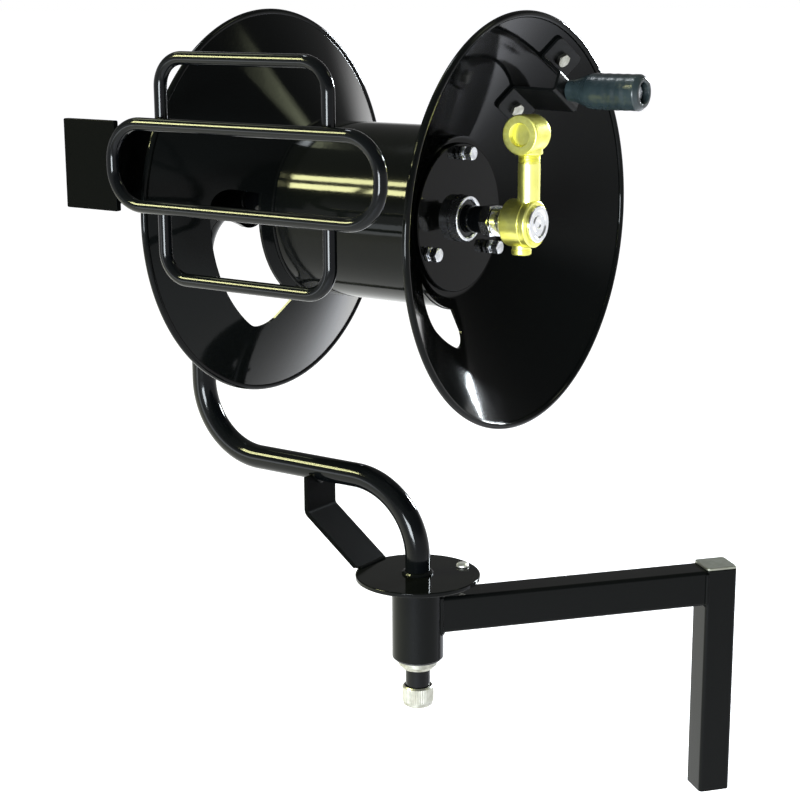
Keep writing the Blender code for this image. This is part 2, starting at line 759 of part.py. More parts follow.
def build_hub(side, reel):
    """Bolted hub plate with its bearing ring and bush, on one disc."""
    word = "right" if side > 0 else "left"
    turn = (0, 0, 0) if side > 0 else (0, 0, pi)
    start = DISC_HUB_X + GAP
    end = start + HUB_PLATE_THICKNESS
    profile = ring_profile(start, end, RING_RADIUS + GAP, HUB_PLATE_RADIUS, 0.0012)
    name = word + "_hub_plate"
    plate = add_object(name, turned_mesh(name, profile, "X", 36), "black_paint", reel, rotation=turn)
    for number, angle in enumerate(bolt_places(), 1):
        place = (0, HUB_BOLT_CIRCLE * cos(angle), HUB_BOLT_CIRCLE * sin(angle))
        drill = cylinder_mesh(name + "_drill", 0.060, 0.100, BOLT_SHANK + GAP, "X", 12)
        boolean(plate, cutter(f"{name}_drill_{number}", drill, reel, place, turn))
        bolt = bolt_mesh(f"{word}_hub_bolt_{number}", end + HUB_BOLT_STANDOFF - 0.001, DISC_HUB_X - 0.007)
        add_object(f"{word}_hub_bolt_{number}", bolt, "zinc", reel, place, turn)
    ring = ring_profile(start, start + RING_LENGTH, RING_BORE, RING_RADIUS, 0.0010)
    name = word + "_bearing_ring"
    add_object(name, turned_mesh(name, ring, "X", 28), "zinc", reel, rotation=turn)
    bush = ring_profile(0.0700, 0.0925, PIPE_RADIUS + RUNNING, RING_BORE - GAP, 0.0008)
    name = word + "_bearing_bush"
    add_object(name, turned_mesh(name, bush, "X", 24), "bush_plastic", reel, rotation=turn)


def build_drum(reel):
    """Tube between the discs, its ends cut to their cones."""
    (low_x, low_r), (high_x, high_r) = disc_profile()[2:4]
    slope = (high_x - low_x) / (high_r - low_r)
    outside = low_x + (DRUM_RADIUS - low_r) * slope - 2 * GAP
    inside = outside - DRUM_WALL * slope
    profile = [
        (-inside, DRUM_RADIUS - DRUM_WALL),
        (-outside, DRUM_RADIUS),
        (outside, DRUM_RADIUS),
        (inside, DRUM_RADIUS - DRUM_WALL),
    ]
    add_object("drum", turned_mesh("drum", profile, "X", 48), "black_paint", reel)


# Brass swivel on the axle's end


def build_swivel(reel):
    body = [
        (SWIVEL_START, 0.0),
        (SWIVEL_START, SWIVEL_RADIUS - 0.0050),
        (SWIVEL_START + 0.0040, SWIVEL_RADIUS),
        (SWIVEL_END - 0.0020, SWIVEL_RADIUS),
        (SWIVEL_END, SWIVEL_RADIUS - 0.0018),
        (SWIVEL_END, 0.0),
    ]
    add_object("swivel_body", turned_mesh("swivel_body", body, "X", 28), "brass", reel)
    start = SWIVEL_END + GAP
    gland = [
        (start, 0.0),
        (start, GLAND_RADIUS),
        (start + GLAND_LENGTH - 0.0010, GLAND_RADIUS),
        (start + GLAND_LENGTH, GLAND_RADIUS - 0.0010),
        (start + GLAND_LENGTH, 0.0125),
        (start + GLAND_LENGTH - 0.0015, 0.0115),
        (start + GLAND_LENGTH - 0.0015, 0.0),
    ]
    add_object("swivel_gland", turned_mesh("swivel_gland", gland, "X", 24), "chrome", reel)

    cope = cylinder_mesh("swivel_cope", SWIVEL_START - 0.02, SWIVEL_END + 0.01, SWIVEL_RADIUS + GAP, "X", 28)
    cope_object = cutter("swivel_cope", cope, reel)
    plug_profile = [
        (-0.0312, 0.0),
        (-0.0312, 0.0085),
        (-0.0300, 0.0098),
        (-0.0150, 0.0098),
        (-0.0150, 0.0),
    ]
    plug_x = (SWIVEL_START + SWIVEL_END) / 2
    plug = add_object("swivel_plug", turned_mesh("swivel_plug", plug_profile, "Z", 20), "brass", reel, (plug_x, 0, 0))
    boolean(plug, cope_object)
    riser_profile = [
        (0.0150, 0.0),
        (0.0150, RISER_RADIUS),
        (SOCKET_FOOT - GAP, RISER_RADIUS),
        (SOCKET_FOOT - GAP, 0.0),
    ]
    riser = add_object("brass_riser", turned_mesh("brass_riser", riser_profile, "Z", 20), "brass", reel, (RISER_X, 0, 0))
    boolean(riser, cope_object)


def build_elbow(reel):
    """Elbow whose open port faces the hose side of the reel."""
    back = ELBOW_BACK
    body = [(ELBOW_FRONT, 0.0), (ELBOW_FRONT, ELBOW_RADIUS - 0.0015), (ELBOW_FRONT + 0.0015, ELBOW_RADIUS)]
    for step in range(5):
        angle = step * radians(75) / 4
        body.append((back - 0.010 + 0.010 * sin(angle), ELBOW_RADIUS - 0.010 * (1 - cos(angle))))
    body.append((back, 0.0))
    place = (RISER_X, 0, ELBOW_Z)
    elbow = add_object("brass_elbow", turned_mesh("brass_elbow", body, "Y", 24), "brass", reel, place)
    socket = cylinder_mesh("brass_elbow_socket", SOCKET_FOOT - ELBOW_Z, -0.004, SOCKET_RADIUS, "Z", 20)
    boolean(elbow, cutter("brass_elbow_socket", socket, reel, place), "UNION")
    port = cylinder_mesh("brass_elbow_port", ELBOW_FRONT - 0.01, ELBOW_FRONT + PORT_DEPTH, PORT_RADIUS, "Y", 20)
    boolean(elbow, cutter("brass_elbow_port", port, reel, place))


# Crank


def crank_path():
    """Fold line of the hat bracket in distance from the axle and X."""
    (low_tip, low_fold), (high_fold, high_tip) = CRANK_EAR_RADII
    web = [(radius, CRANK_WEB_X) for radius in CRANK_WEB_RADII]
    return [ear_seat(low_tip), ear_seat(low_fold), *web, ear_seat(high_fold), ear_seat(high_tip)]


def build_crank(reel, crank):
    half = CRANK_WIDTH / 2
    outline = strip_outline(crank_path(), CRANK_SHEET)
    mesh = slab_mesh("crank_bracket", outline, -half, half, lambda u, v, w: crank_place(u, v, w))
    bracket = add_object("crank_bracket", mesh, "black_paint", reel)
    tilt = cone_normal()
    for number, radius in enumerate(CRANK_BOLT_RADII, 1):
        place = crank_place(radius, cone_x(radius))
        drill = cylinder_mesh("crank_ear_drill", -0.010, 0.015, BOLT_SHANK + GAP, "X", 12)
        boolean(bracket, cutter(f"crank_ear_drill_{number}", drill, reel, place, tilt))
        bolt = bolt_mesh(f"crank_bolt_{number}", ear_height(radius) + GAP, -0.008)
        add_object(f"crank_bolt_{number}", bolt, "zinc", reel, place, tilt)
    axis_place = crank_place(GRIP_REACH, 0.0)
    ends = (CRANK_WEB_X - 2 * CRANK_SHEET, CRANK_WEB_X + 2 * CRANK_SHEET)
    drill = cylinder_mesh("crank_web_drill", *ends, SPINDLE_RADIUS + GAP, "X", 16)
    boolean(bracket, cutter("crank_web_drill", drill, reel, axis_place))

    nut_end = CRANK_WEB_X - CRANK_SHEET / 2 - GAP
    nut_start = nut_end - 0.007
    corner = CRANK_NUT_FLATS / 2 / cos(pi / 6)
    bore = SPINDLE_RADIUS + GAP
    rings = [
        (nut_start, circle(bore)),
        (nut_start, hexagon(CRANK_NUT_FLATS, CRANK_NUT_FLATS / 2)),
        (nut_start + 0.001, hexagon(CRANK_NUT_FLATS, corner)),
        (nut_end, hexagon(CRANK_NUT_FLATS, corner)),
        (nut_end, circle(bore)),
    ]
    nut = loft_mesh("crank_nut", [[(x, u, v) for u, v in ring] for x, ring in rings], hollow=True)
    add_object("crank_nut", nut, "zinc", reel, axis_place, (pi / 6, 0, 0))
    spindle = [
        (nut_start - 0.004, 0.0),
        (nut_start - 0.004, SPINDLE_RADIUS - 0.0008),
        (nut_start - 0.003, SPINDLE_RADIUS),
        (GRIP_END - 0.0110, SPINDLE_RADIUS),
        (GRIP_END - 0.0110, 0.0082),
        (GRIP_END - 0.0065, 0.0082),
        (GRIP_END - 0.0055, 0.0070),
        (GRIP_END - 0.0055, 0.0),
    ]
    add_object("crank_spindle", turned_mesh("crank_spindle", spindle, "X", 16), "zinc", reel, axis_place)

    bore = SPINDLE_RADIUS + RUNNING
    grip = [
        (GRIP_START, bore),
        (GRIP_START, GRIP_BASE_RADIUS - 0.0010),
        (GRIP_START + 0.0010, GRIP_BASE_RADIUS),
        (GRIP_START + 0.0080, GRIP_BASE_RADIUS + 0.0006),
        (GRIP_START + 0.0250, GRIP_RADIUS - 0.0008),
        (GRIP_START + 0.0290, GRIP_RADIUS),
        (GRIP_END - 0.0050, GRIP_RADIUS),
        (GRIP_END - 0.0015, GRIP_RADIUS - 0.0012),
        (GRIP_END, GRIP_RADIUS - 0.0040),
        (GRIP_END, 0.0112),
        (GRIP_END - 0.0015, 0.0100),
        (GRIP_END - 0.0110 - RUNNING, 0.0100),
        (GRIP_END - 0.0110 - RUNNING, bore),
    ]
    add_object("crank_grip", turned_mesh("crank_grip", grip, "X", 24), "grip_plastic", crank)


def main():
    clear_scene()
    reach = POST_REACH + TUBE_SIDE / 2
    swing_place = (-reach * cos(BAR_ANGLE), -reach * sin(BAR_ANGLE), MOUNT_DROP)
    bracket = make_empty("bracket_frame", swing_place, turn=BAR_ANGLE)
    swing = make_empty("swing_axis", swing_place)
    inlet = make_empty("inlet_axis", (0, 0, NUT_TOP - NUT_HEIGHT / 2), swing)
    centre = make_empty("arm_at_reel", (-REEL_OFFSET, 0, AXLE_HEIGHT), swing)
    reel = make_empty("reel_axis", (0, 0, 0), centre)
    crank = make_empty("crank_axis", crank_place(GRIP_REACH, 0.0), reel)

    build_bracket(bracket)
    build_bushes(bracket)
    build_pipe(swing)
    build_swivel_plate(swing)
    build_gusset(swing)
    build_foot(swing)
    build_inlet_nut(inlet)
    build_nipple(centre)
    build_guide(centre)
    build_drum(reel)
    for side in (-1, 1):
        build_disc(side, reel)
        build_hub(side, reel)
    build_swivel(reel)
    build_elbow(reel)
    build_crank(reel, crank)


main()
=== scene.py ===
"""Studio scene of a pressure washer hose reel on its swinging pipe arm.

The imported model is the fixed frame.  Each visible piece is modelled again in its place with
Blender's own tools, dressed in a procedural finish and set on the body that it moves with.
All lengths are metres.
"""

import json
import logging
from dataclasses import dataclass
from enum import Enum
from math import asin, atan2, cos, hypot, pi, radians, sin, tan, tau
from typing import Callable, Optional, Sequence

import bmesh
import bpy
from mathutils import Matrix, Vector


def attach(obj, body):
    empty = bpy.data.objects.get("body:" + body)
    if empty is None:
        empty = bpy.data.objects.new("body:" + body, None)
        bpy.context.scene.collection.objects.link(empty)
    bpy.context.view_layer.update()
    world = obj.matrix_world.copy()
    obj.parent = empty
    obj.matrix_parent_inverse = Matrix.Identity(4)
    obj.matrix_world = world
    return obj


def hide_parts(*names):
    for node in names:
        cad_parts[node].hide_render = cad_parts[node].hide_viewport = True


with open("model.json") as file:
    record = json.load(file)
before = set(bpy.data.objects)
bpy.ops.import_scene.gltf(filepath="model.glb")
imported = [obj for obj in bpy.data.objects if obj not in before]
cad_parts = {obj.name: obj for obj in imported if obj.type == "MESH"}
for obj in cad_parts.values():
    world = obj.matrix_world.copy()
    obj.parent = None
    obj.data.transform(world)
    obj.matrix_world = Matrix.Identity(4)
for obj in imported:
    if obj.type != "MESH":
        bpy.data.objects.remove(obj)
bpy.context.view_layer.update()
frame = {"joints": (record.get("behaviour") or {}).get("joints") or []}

GAP = 0.0003
RUNNING = 0.0005
PIPE_RADIUS = 0.01335
MERGE = 0.000002
UP = Vector((0.0, 0.0, 1.0))
EAST = Vector((1.0, 0.0, 0.0))
NORTH = Vector((0.0, 1.0, 0.0))

Line = list[tuple[float, float]]
Piece = bpy.types.Object

log = logging.getLogger("hose_reel")


class Body(str, Enum):
    """The bodies that pieces ride on."""

    BRACKET = "bracket"
    ARM = "arm"
    REEL = "reel"
    GRIP = "grip"
    NUT = "nut"


class Cut(str, Enum):
    """Ways to combine a piece with a tool."""

    AWAY = "DIFFERENCE"
    KEEP = "INTERSECT"
    JOIN = "UNION"


# Places and drawn lines


@dataclass(frozen=True)
class Axes:
    """A local frame: its origin, its turning axis and its first sideways direction."""

    origin: Vector
    along: Vector
    out: Vector

    @property
    def side(self) -> Vector:
        """Third direction, square to the other two."""
        return self.along.cross(self.out)

    def at(self, along: float = 0.0, out: float = 0.0, side: float = 0.0) -> Vector:
        """Point at the given distances from the origin."""
        return self.origin + self.along * along + self.out * out + self.side * side

    def moved(self, along: float = 0.0, out: float = 0.0, side: float = 0.0) -> "Axes":
        """The same directions from another origin."""
        return Axes(self.at(along, out, side), self.along, self.out)


def eased(corners: Sequence[tuple], steps: int = 5) -> Line:
    """Draws a line through corners and rounds those that have a radius.

    Args:
        corners: (u, v) or (u, v, radius) of each corner.
        steps: chords in each rounded corner.

    Returns:
        The points of the line, in order.
    """
    points: Line = []
    count = len(corners)
    for i, corner in enumerate(corners):
        here = Vector(corner[:2])
        radius = corner[2] if len(corner) > 2 else 0.0
        if not radius:
            points.append(tuple(here))
            continue
        back = Vector(corners[i - 1][:2]) - here
        ahead = Vector(corners[(i + 1) % count][:2]) - here
        half = back.angle(ahead) / 2
        reach = min(radius / tan(half), 0.48 * back.length, 0.48 * ahead.length)
        radius = reach * tan(half)
        middle = (back.normalized() + ahead.normalized()).normalized()
        centre = here + middle * (reach / cos(half))
        first = here + back.normalized() * reach - centre
        last = here + ahead.normalized() * reach - centre
        for step in range(steps + 1):
            spoke = first.lerp(last, step / steps).normalized() * radius
            points.append(tuple(centre + spoke))
    return points


def ring_line(
    start: float, end: float, bore: float, radius: float, ease: float, inner: float = 0.0003
) -> Line:
    """Half section of a ring with rounded outer edges and slightly broken inner ones."""
    return eased([(start, bore, inner), (start, radius, ease), (end, radius, ease), (end, bore, inner)], 4)


def ridged_line(start: float, end: float, crest: float, root: float, pitch: float) -> Line:
    """Zigzag of a screw thread in half section, from start to end."""
    turns = max(1, round(abs(end - start) / pitch))
    step = (end - start) / turns
    points: Line = []
    for turn in range(turns):
        place = start + turn * step
        points += [(place + 0.08 * step, root), (place + 0.44 * step, crest), (place + 0.56 * step, crest)]
    points.append((end, root))
    return points


def oblong(width: float, height: float, corner: float, steps: int = 6) -> Line:
    """Outline of an oblong with rounded corners, round its middle."""
    u, v = width / 2, height / 2
    return eased([(u, v, corner), (-u, v, corner), (-u, -v, corner), (u, -v, corner)], steps)


# Modelling


@dataclass(frozen=True)
class Straight:
    """A straight leg of a swept route."""

    by: Vector
    steps: int = 1

    def follow(self, place: Vector, scale: Callable[[], float]) -> Vector:
        """Pushes the selected ring along the leg.

        Args:
            place: middle of the ring before the leg.
            scale: size of the next ring as a share of the last one's.

        Returns:
            The middle of the ring after the leg.
        """
        for _ in range(self.steps):
            bpy.ops.mesh.extrude_region_move(TRANSFORM_OT_translate={"value": self.by / self.steps})
            place = place + self.by / self.steps
            Bench.swell(scale(), place)
        return place


@dataclass(frozen=True)
class Turn:
    """A leg of a swept route that bends round a centre."""

    centre: Vector
    axis: Vector
    angle: float
    steps: int = 12

    def follow(self, place: Vector, scale: Callable[[], float]) -> Vector:
        """Spins the selected ring round the centre, as Straight.follow does along a line."""
        for _ in range(self.steps):
            bpy.ops.mesh.spin(steps=1, angle=-self.angle / self.steps, center=self.centre, axis=self.axis)
            turn = Matrix.Rotation(self.angle / self.steps, 3, self.axis)
            place = self.centre + turn @ (place - self.centre)
            Bench.swell(scale(), place)
        return place


@dataclass(frozen=True)
class Route:
    """Where a swept ring starts, which way it faces and the legs that it follows."""

    start: Vector
    heading: Vector
    legs: tuple
    closed: bool = False

    @classmethod
    def through(
        cls, corners: Sequence[Vector], bends: Sequence[float], steps: int, closed: bool = False
    ) -> "Route":
        """A route through corners with a round bend at each.

        Args:
            corners: the corners of the route; the first one of a closed route is where its bend starts.
            bends: radius of the bend at each corner, 0 at the ends of an open route.
            steps: chords in each bend.
            closed: whether the route comes back to its first corner.

        Returns:
            The route.
        """
        count = len(corners)
        starts, ends, turns = [], [], []
        for i, (corner, bend) in enumerate(zip(corners, bends)):
            if not closed and i in (0, count - 1):
                starts.append(corner)
                ends.append(corner)
                turns.append(None)
                continue
            back = (corners[i - 1] - corner).normalized()
            ahead = (corners[(i + 1) % count] - corner).normalized()
            half = back.angle(ahead) / 2
            centre = corner + (back + ahead).normalized() * bend / sin(half)
            starts.append(corner + back * bend / tan(half))
            ends.append(corner + ahead * bend / tan(half))
            turns.append(Turn(centre, (-back).cross(ahead).normalized(), pi - 2 * half, steps))
        legs: list = []
        for i in range(count if closed else count - 1):
            if turns[i]:
                legs.append(turns[i])
            legs.append(Straight(starts[(i + 1) % count] - ends[i]))
        first = starts[0]
        leg = corners[0] - corners[-1] if closed else corners[1] - corners[0]
        heading = leg.normalized()
        return cls(first, heading, tuple(legs), closed)


class Bench:
    """Modelling steps, done with Blender's own operators on one fresh piece at a time."""

    @staticmethod
    def clear() -> None:
        """Leaves edit mode and deselects everything."""
        if bpy.context.mode != "OBJECT":
            bpy.ops.object.mode_set(mode="OBJECT")
        bpy.ops.object.select_all(action="DESELECT")

    @classmethod
    def only(cls, piece: Piece) -> None:
        """Selects one piece and makes it active."""
        cls.clear()
        piece.select_set(True)
        bpy.context.view_layer.objects.active = piece

    @classmethod
    def edit(cls, piece: Piece) -> None:
        """Opens one piece in edit mode with all of it selected."""
        cls.only(piece)
        bpy.ops.object.mode_set(mode="EDIT")
        bpy.ops.mesh.select_all(action="SELECT")

    @classmethod
    def adopt(cls, name: str) -> Piece:
        """Names the fresh primitive, applies its place and opens it in edit mode."""
        piece = bpy.context.object
        piece.name = name
        piece.data.name = name
        bpy.ops.object.transform_apply(location=True, rotation=True, scale=True)
        cls.edit(piece)
        return piece

    @classmethod
    def pick(cls, piece: Piece, kind: str, test: Callable) -> None:
        """Selects the VERT, EDGE or FACE elements that pass a test."""
        bpy.ops.mesh.select_mode(type=kind)
        bpy.ops.mesh.select_all(action="DESELECT")
        mesh = bmesh.from_edit_mesh(piece.data)
        group = {"VERT": mesh.verts, "EDGE": mesh.edges, "FACE": mesh.faces}[kind]
        for item in group:
            item.select_set(bool(test(item)))
        mesh.select_flush_mode()
        bmesh.update_edit_mesh(piece.data)

    @staticmethod
    def swell(scale: float, place: Vector) -> None:
        """Scales the selected ring about its middle."""
        if abs(scale - 1.0) > 1e-6:
            bpy.ops.transform.resize(value=(scale, scale, scale), center_override=place)

    @classmethod
    def close(cls, piece: Piece, sharp: float = 32.0) -> Piece:
        """Merges doubles, turns the faces outwards and shades the piece."""
        bpy.ops.mesh.select_mode(type="VERT")
        bpy.ops.mesh.select_all(action="SELECT")
        bpy.ops.mesh.remove_doubles(threshold=MERGE)
        bpy.ops.mesh.normals_make_consistent(inside=False)
        return cls.shade(piece, sharp)

    @classmethod
    def shade(cls, piece: Piece, sharp: float = 32.0) -> Piece:
        """Smooths a piece's shading except at its sharp edges."""
        cls.only(piece)
        bpy.ops.object.shade_smooth_by_angle(angle=radians(sharp))
        return piece

    @classmethod
    def settle(cls, piece: Piece) -> None:
        """Keeps the shading of long and flat faces straight beside narrow rounded edges."""
        cls.only(piece)
        modifier = piece.modifiers.new("normals", "WEIGHTED_NORMAL")
        modifier.keep_sharp = True
        bpy.ops.object.modifier_apply(modifier=modifier.name)

    @classmethod
    def draw(cls, name: str, points: Sequence[Vector]) -> Piece:
        """Draws a line of edges through points and leaves it in edit mode, all selected."""
        cls.clear()
        bpy.ops.mesh.primitive_circle_add(vertices=3, radius=0.001, location=points[0])
        piece = cls.adopt(name)
        bpy.ops.mesh.merge(type="CENTER")
        for before, after in zip(points[:-1], points[1:]):
            bpy.ops.mesh.extrude_region_move(TRANSFORM_OT_translate={"value": after - before})
        bpy.ops.mesh.select_all(action="SELECT")
        bpy.ops.mesh.remove_doubles(threshold=MERGE)
        return piece

    @classmethod
    def turn(cls, name: str, axes: Axes, profile: Line, steps: int = 96) -> Piece:
        """Spins a half section of (along, radius) points round its axis."""
        line = [axes.at(along, radius) for along, radius in profile]
        if profile[0][1] > MERGE or profile[-1][1] > MERGE:
            line.append(line[0])
        piece = cls.draw(name, line)
        bpy.ops.mesh.spin(steps=steps, angle=tau, center=axes.origin, axis=axes.along)
        return cls.close(piece)

    @classmethod
    def press(cls, name: str, outline: Sequence[Vector], push: Vector) -> Piece:
        """Fills a flat outline and pushes it out to a plate or a bar."""
        piece = cls.draw(name, [*outline, outline[0]])
        bpy.ops.mesh.edge_face_add()
        bpy.ops.mesh.extrude_region_move(TRANSFORM_OT_translate={"value": push})
        return cls.close(piece)

    @classmethod
    def sweep(
        cls, name: str, route: Route, radius: float, sides: int, scale: Callable = lambda: 1.0
    ) -> Piece:
        """Sweeps a ring along a route and caps its ends.

        Args:
            name: name of the piece.
            route: the way that the ring's middle goes.
            radius: radius of the ring.
            sides: corners of the ring.
            scale: size of each ring as a share of the last one's.

        Returns:
            The swept piece.
        """
        cls.clear()
        facing = route.heading.to_track_quat("Z", "Y").to_euler()
        bpy.ops.mesh.primitive_circle_add(
            vertices=sides, radius=radius, location=route.start, rotation=facing
        )
        piece = cls.adopt(name)
        place = route.start
        for leg in route.legs:
            place = leg.follow(place, scale)
        bpy.ops.mesh.select_all(action="SELECT")
        bpy.ops.mesh.remove_doubles(threshold=0.00001)
        if not route.closed:
            bpy.ops.mesh.select_all(action="DESELECT")
            bpy.ops.mesh.select_non_manifold()
            bpy.ops.mesh.fill_holes(sides=0)
        return cls.close(piece)

    @classmethod
    def bore(cls, piece: Piece, place: Vector, heading: Vector, wall: float, depth: float) -> Piece:
        """Hollows the end cap at a place, leaving a wall round it."""

        def is_end(face: bmesh.types.BMFace) -> bool:
            """Whether a face is the end cap at the place."""
            near = (face.calc_center_median() - place).length < 0.0004
            return near and face.normal.dot(heading) > 0.9

        cls.edit(piece)
        cls.pick(piece, "FACE", is_end)
        bpy.ops.mesh.inset(thickness=0.0004, depth=0.0003)
        bpy.ops.mesh.inset(thickness=wall - 0.0008, depth=0.0)
        bpy.ops.mesh.inset(thickness=0.0004, depth=-0.0003)
        bpy.ops.mesh.extrude_region_move(TRANSFORM_OT_translate={"value": heading * -depth})
        return cls.close(piece)

    @classmethod
    def combine(cls, piece: Piece, tool: Piece, way: Cut) -> Piece:
        """Applies an exact boolean of a piece with a tool, and clears the tool away."""
        cls.only(piece)
        modifier = piece.modifiers.new("combine", "BOOLEAN")
        modifier.operation = way.value
        modifier.solver = "EXACT"
        modifier.object = tool
        bpy.ops.object.modifier_apply(modifier=modifier.name)
        bpy.data.objects.remove(tool, do_unlink=True)
        return piece

    @classmethod
    def bevel(cls, piece: Piece, width: float, segments: int = 2, angle: float = 35.0) -> Piece:
        """Rounds the edges of a piece that are sharper than an angle."""
        cls.only(piece)
        modifier = piece.modifiers.new("edges", "BEVEL")
        modifier.width = width
        modifier.segments = segments
        modifier.limit_method = "ANGLE"
        modifier.angle_limit = radians(angle)
        modifier.harden_normals = False
        bpy.ops.object.modifier_apply(modifier=modifier.name)
        return cls.shade(piece, 40.0)

    @classmethod
    def round_edges(cls, piece: Piece, test: Callable, width: float, segments: int = 4) -> Piece:
        """Rounds the edges that pass a test, in edit mode."""
        cls.edit(piece)
        cls.pick(piece, "EDGE", test)
        bpy.ops.mesh.bevel(offset=width, segments=segments, affect="EDGES", clamp_overlap=True)
        return cls.close(piece)

    @classmethod
    def hexagon(
        cls, name: str, axes: Axes, start: float, end: float, flats: float, both: bool = False
    ) -> Piece:
        """A hexagonal block along an axis with its corners turned off at the end, or at both ends."""
        corner = flats / 2 / cos(pi / 6)
        outline = [axes.at(start, corner * cos(i * pi / 3), corner * sin(i * pi / 3)) for i in range(6)]
        block = cls.press(name, outline, axes.along * (end - start))
        drop = 0.55 * (corner - flats * 0.475)
        top = [(end - drop, corner + 0.0001), (end, flats * 0.475), (end, 0.0)]
        foot = [(start, 0.0), (start, flats * 0.475), (start + drop, corner + 0.0001)]
        if not both:
            foot = [(start - 0.001, 0.0), (start - 0.001, corner + 0.0001)]
        blank = cls.turn("blank", axes, foot + top, 48)
        cls.combine(block, blank, Cut.KEEP)
        return cls.bevel(block, 0.00018, 2, 25.0)

    @classmethod
    def copy(cls, piece: Piece, name: str, change: Matrix) -> Piece:
        """Copies a piece with its own mesh, moved by a matrix."""
        cls.only(piece)
        bpy.ops.object.duplicate(linked=False)
        twin = bpy.context.object
        twin.name = name
        twin.data.name = name
        twin.data.transform(change)
        return twin

    @classmethod
    def merge(cls, pieces: Sequence[Piece]) -> Piece:
        """Joins several pieces to one object, the first one."""
        cls.clear()
        for piece in pieces:
            piece.select_set(True)
        bpy.context.view_layer.objects.active = pieces[0]
        bpy.ops.object.join()
        return bpy.context.object


class Bead:
    """A weld bead: a thin swept ring whose size ripples as the welder's steps do."""

    WAVE = (1.0, 1.09, 1.02)

    def __init__(self, radius: float) -> None:
        """Starts a bead of one radius."""
        self.radius = radius
        self.count = 0

    def scale(self) -> float:
        """Size of the next ring as a share of the last one's."""
        last = self.WAVE[self.count % 3]
        self.count += 1
        return self.WAVE[self.count % 3] / last

    def run(self, name: str, route: Route) -> Piece:
        """Lays the bead along a route."""
        return Bench.sweep(name, route, self.radius, 10, self.scale)

    def ring(
        self, name: str, axes: Axes, along: float, radius: float, start: float = 0.0, angle: float = tau
    ) -> Piece:
        """Lays the bead round an axis, all round or over an angle."""
        steps = 3 * max(3, round(radius * angle / 0.0024))
        spoke = axes.out * cos(start) + axes.side * sin(start)
        place = axes.at(along) + spoke * radius
        legs = (Turn(axes.at(along), axes.along, angle, steps),)
        return self.run(name, Route(place, axes.along.cross(spoke), legs, angle >= tau))

    def line(self, name: str, start: Vector, end: Vector) -> Piece:
        """Lays the bead straight from one point to another."""
        steps = 3 * max(2, round((end - start).length / 0.0024))
        legs = (Straight(end - start, steps),)
        return self.run(name, Route(start, (end - start).normalized(), legs))


# Shader maths and finishes


class Wire:
    """One output of a shader tree; expressions on wires add their Math nodes."""

    def __init__(self, tree: bpy.types.NodeTree, socket: bpy.types.NodeSocket) -> None:
        """Wraps a socket."""
        self.tree = tree
        self.socket = socket

    def _math(self, operation: str, first: "Wire | float", second: "Wire | float") -> "Wire":
        """Adds one Math node for two terms."""
        node = self.tree.nodes.new("ShaderNodeMath")
        node.operation = operation
        for place, term in zip(node.inputs, (first, second)):
            if isinstance(term, Wire):
                self.tree.links.new(term.socket, place)
            else:
                place.default_value = term
        return Wire(self.tree, node.outputs[0])

    def __add__(self, other: "Wire | float") -> "Wire":
        """This plus another term."""
        return self._math("ADD", self, other)

    __radd__ = __add__

    def __sub__(self, other: "Wire | float") -> "Wire":
        """This minus another term."""
        return self._math("SUBTRACT", self, other)

    def __rsub__(self, other: "Wire | float") -> "Wire":
        """Another term minus this."""
        return self._math("SUBTRACT", other, self)

    def __mul__(self, other: "Wire | float") -> "Wire":
        """This times another term."""
        return self._math("MULTIPLY", self, other)

    __rmul__ = __mul__

    def power(self, exponent: float) -> "Wire":
        """This raised to a power."""
        return self._math("POWER", self, exponent)


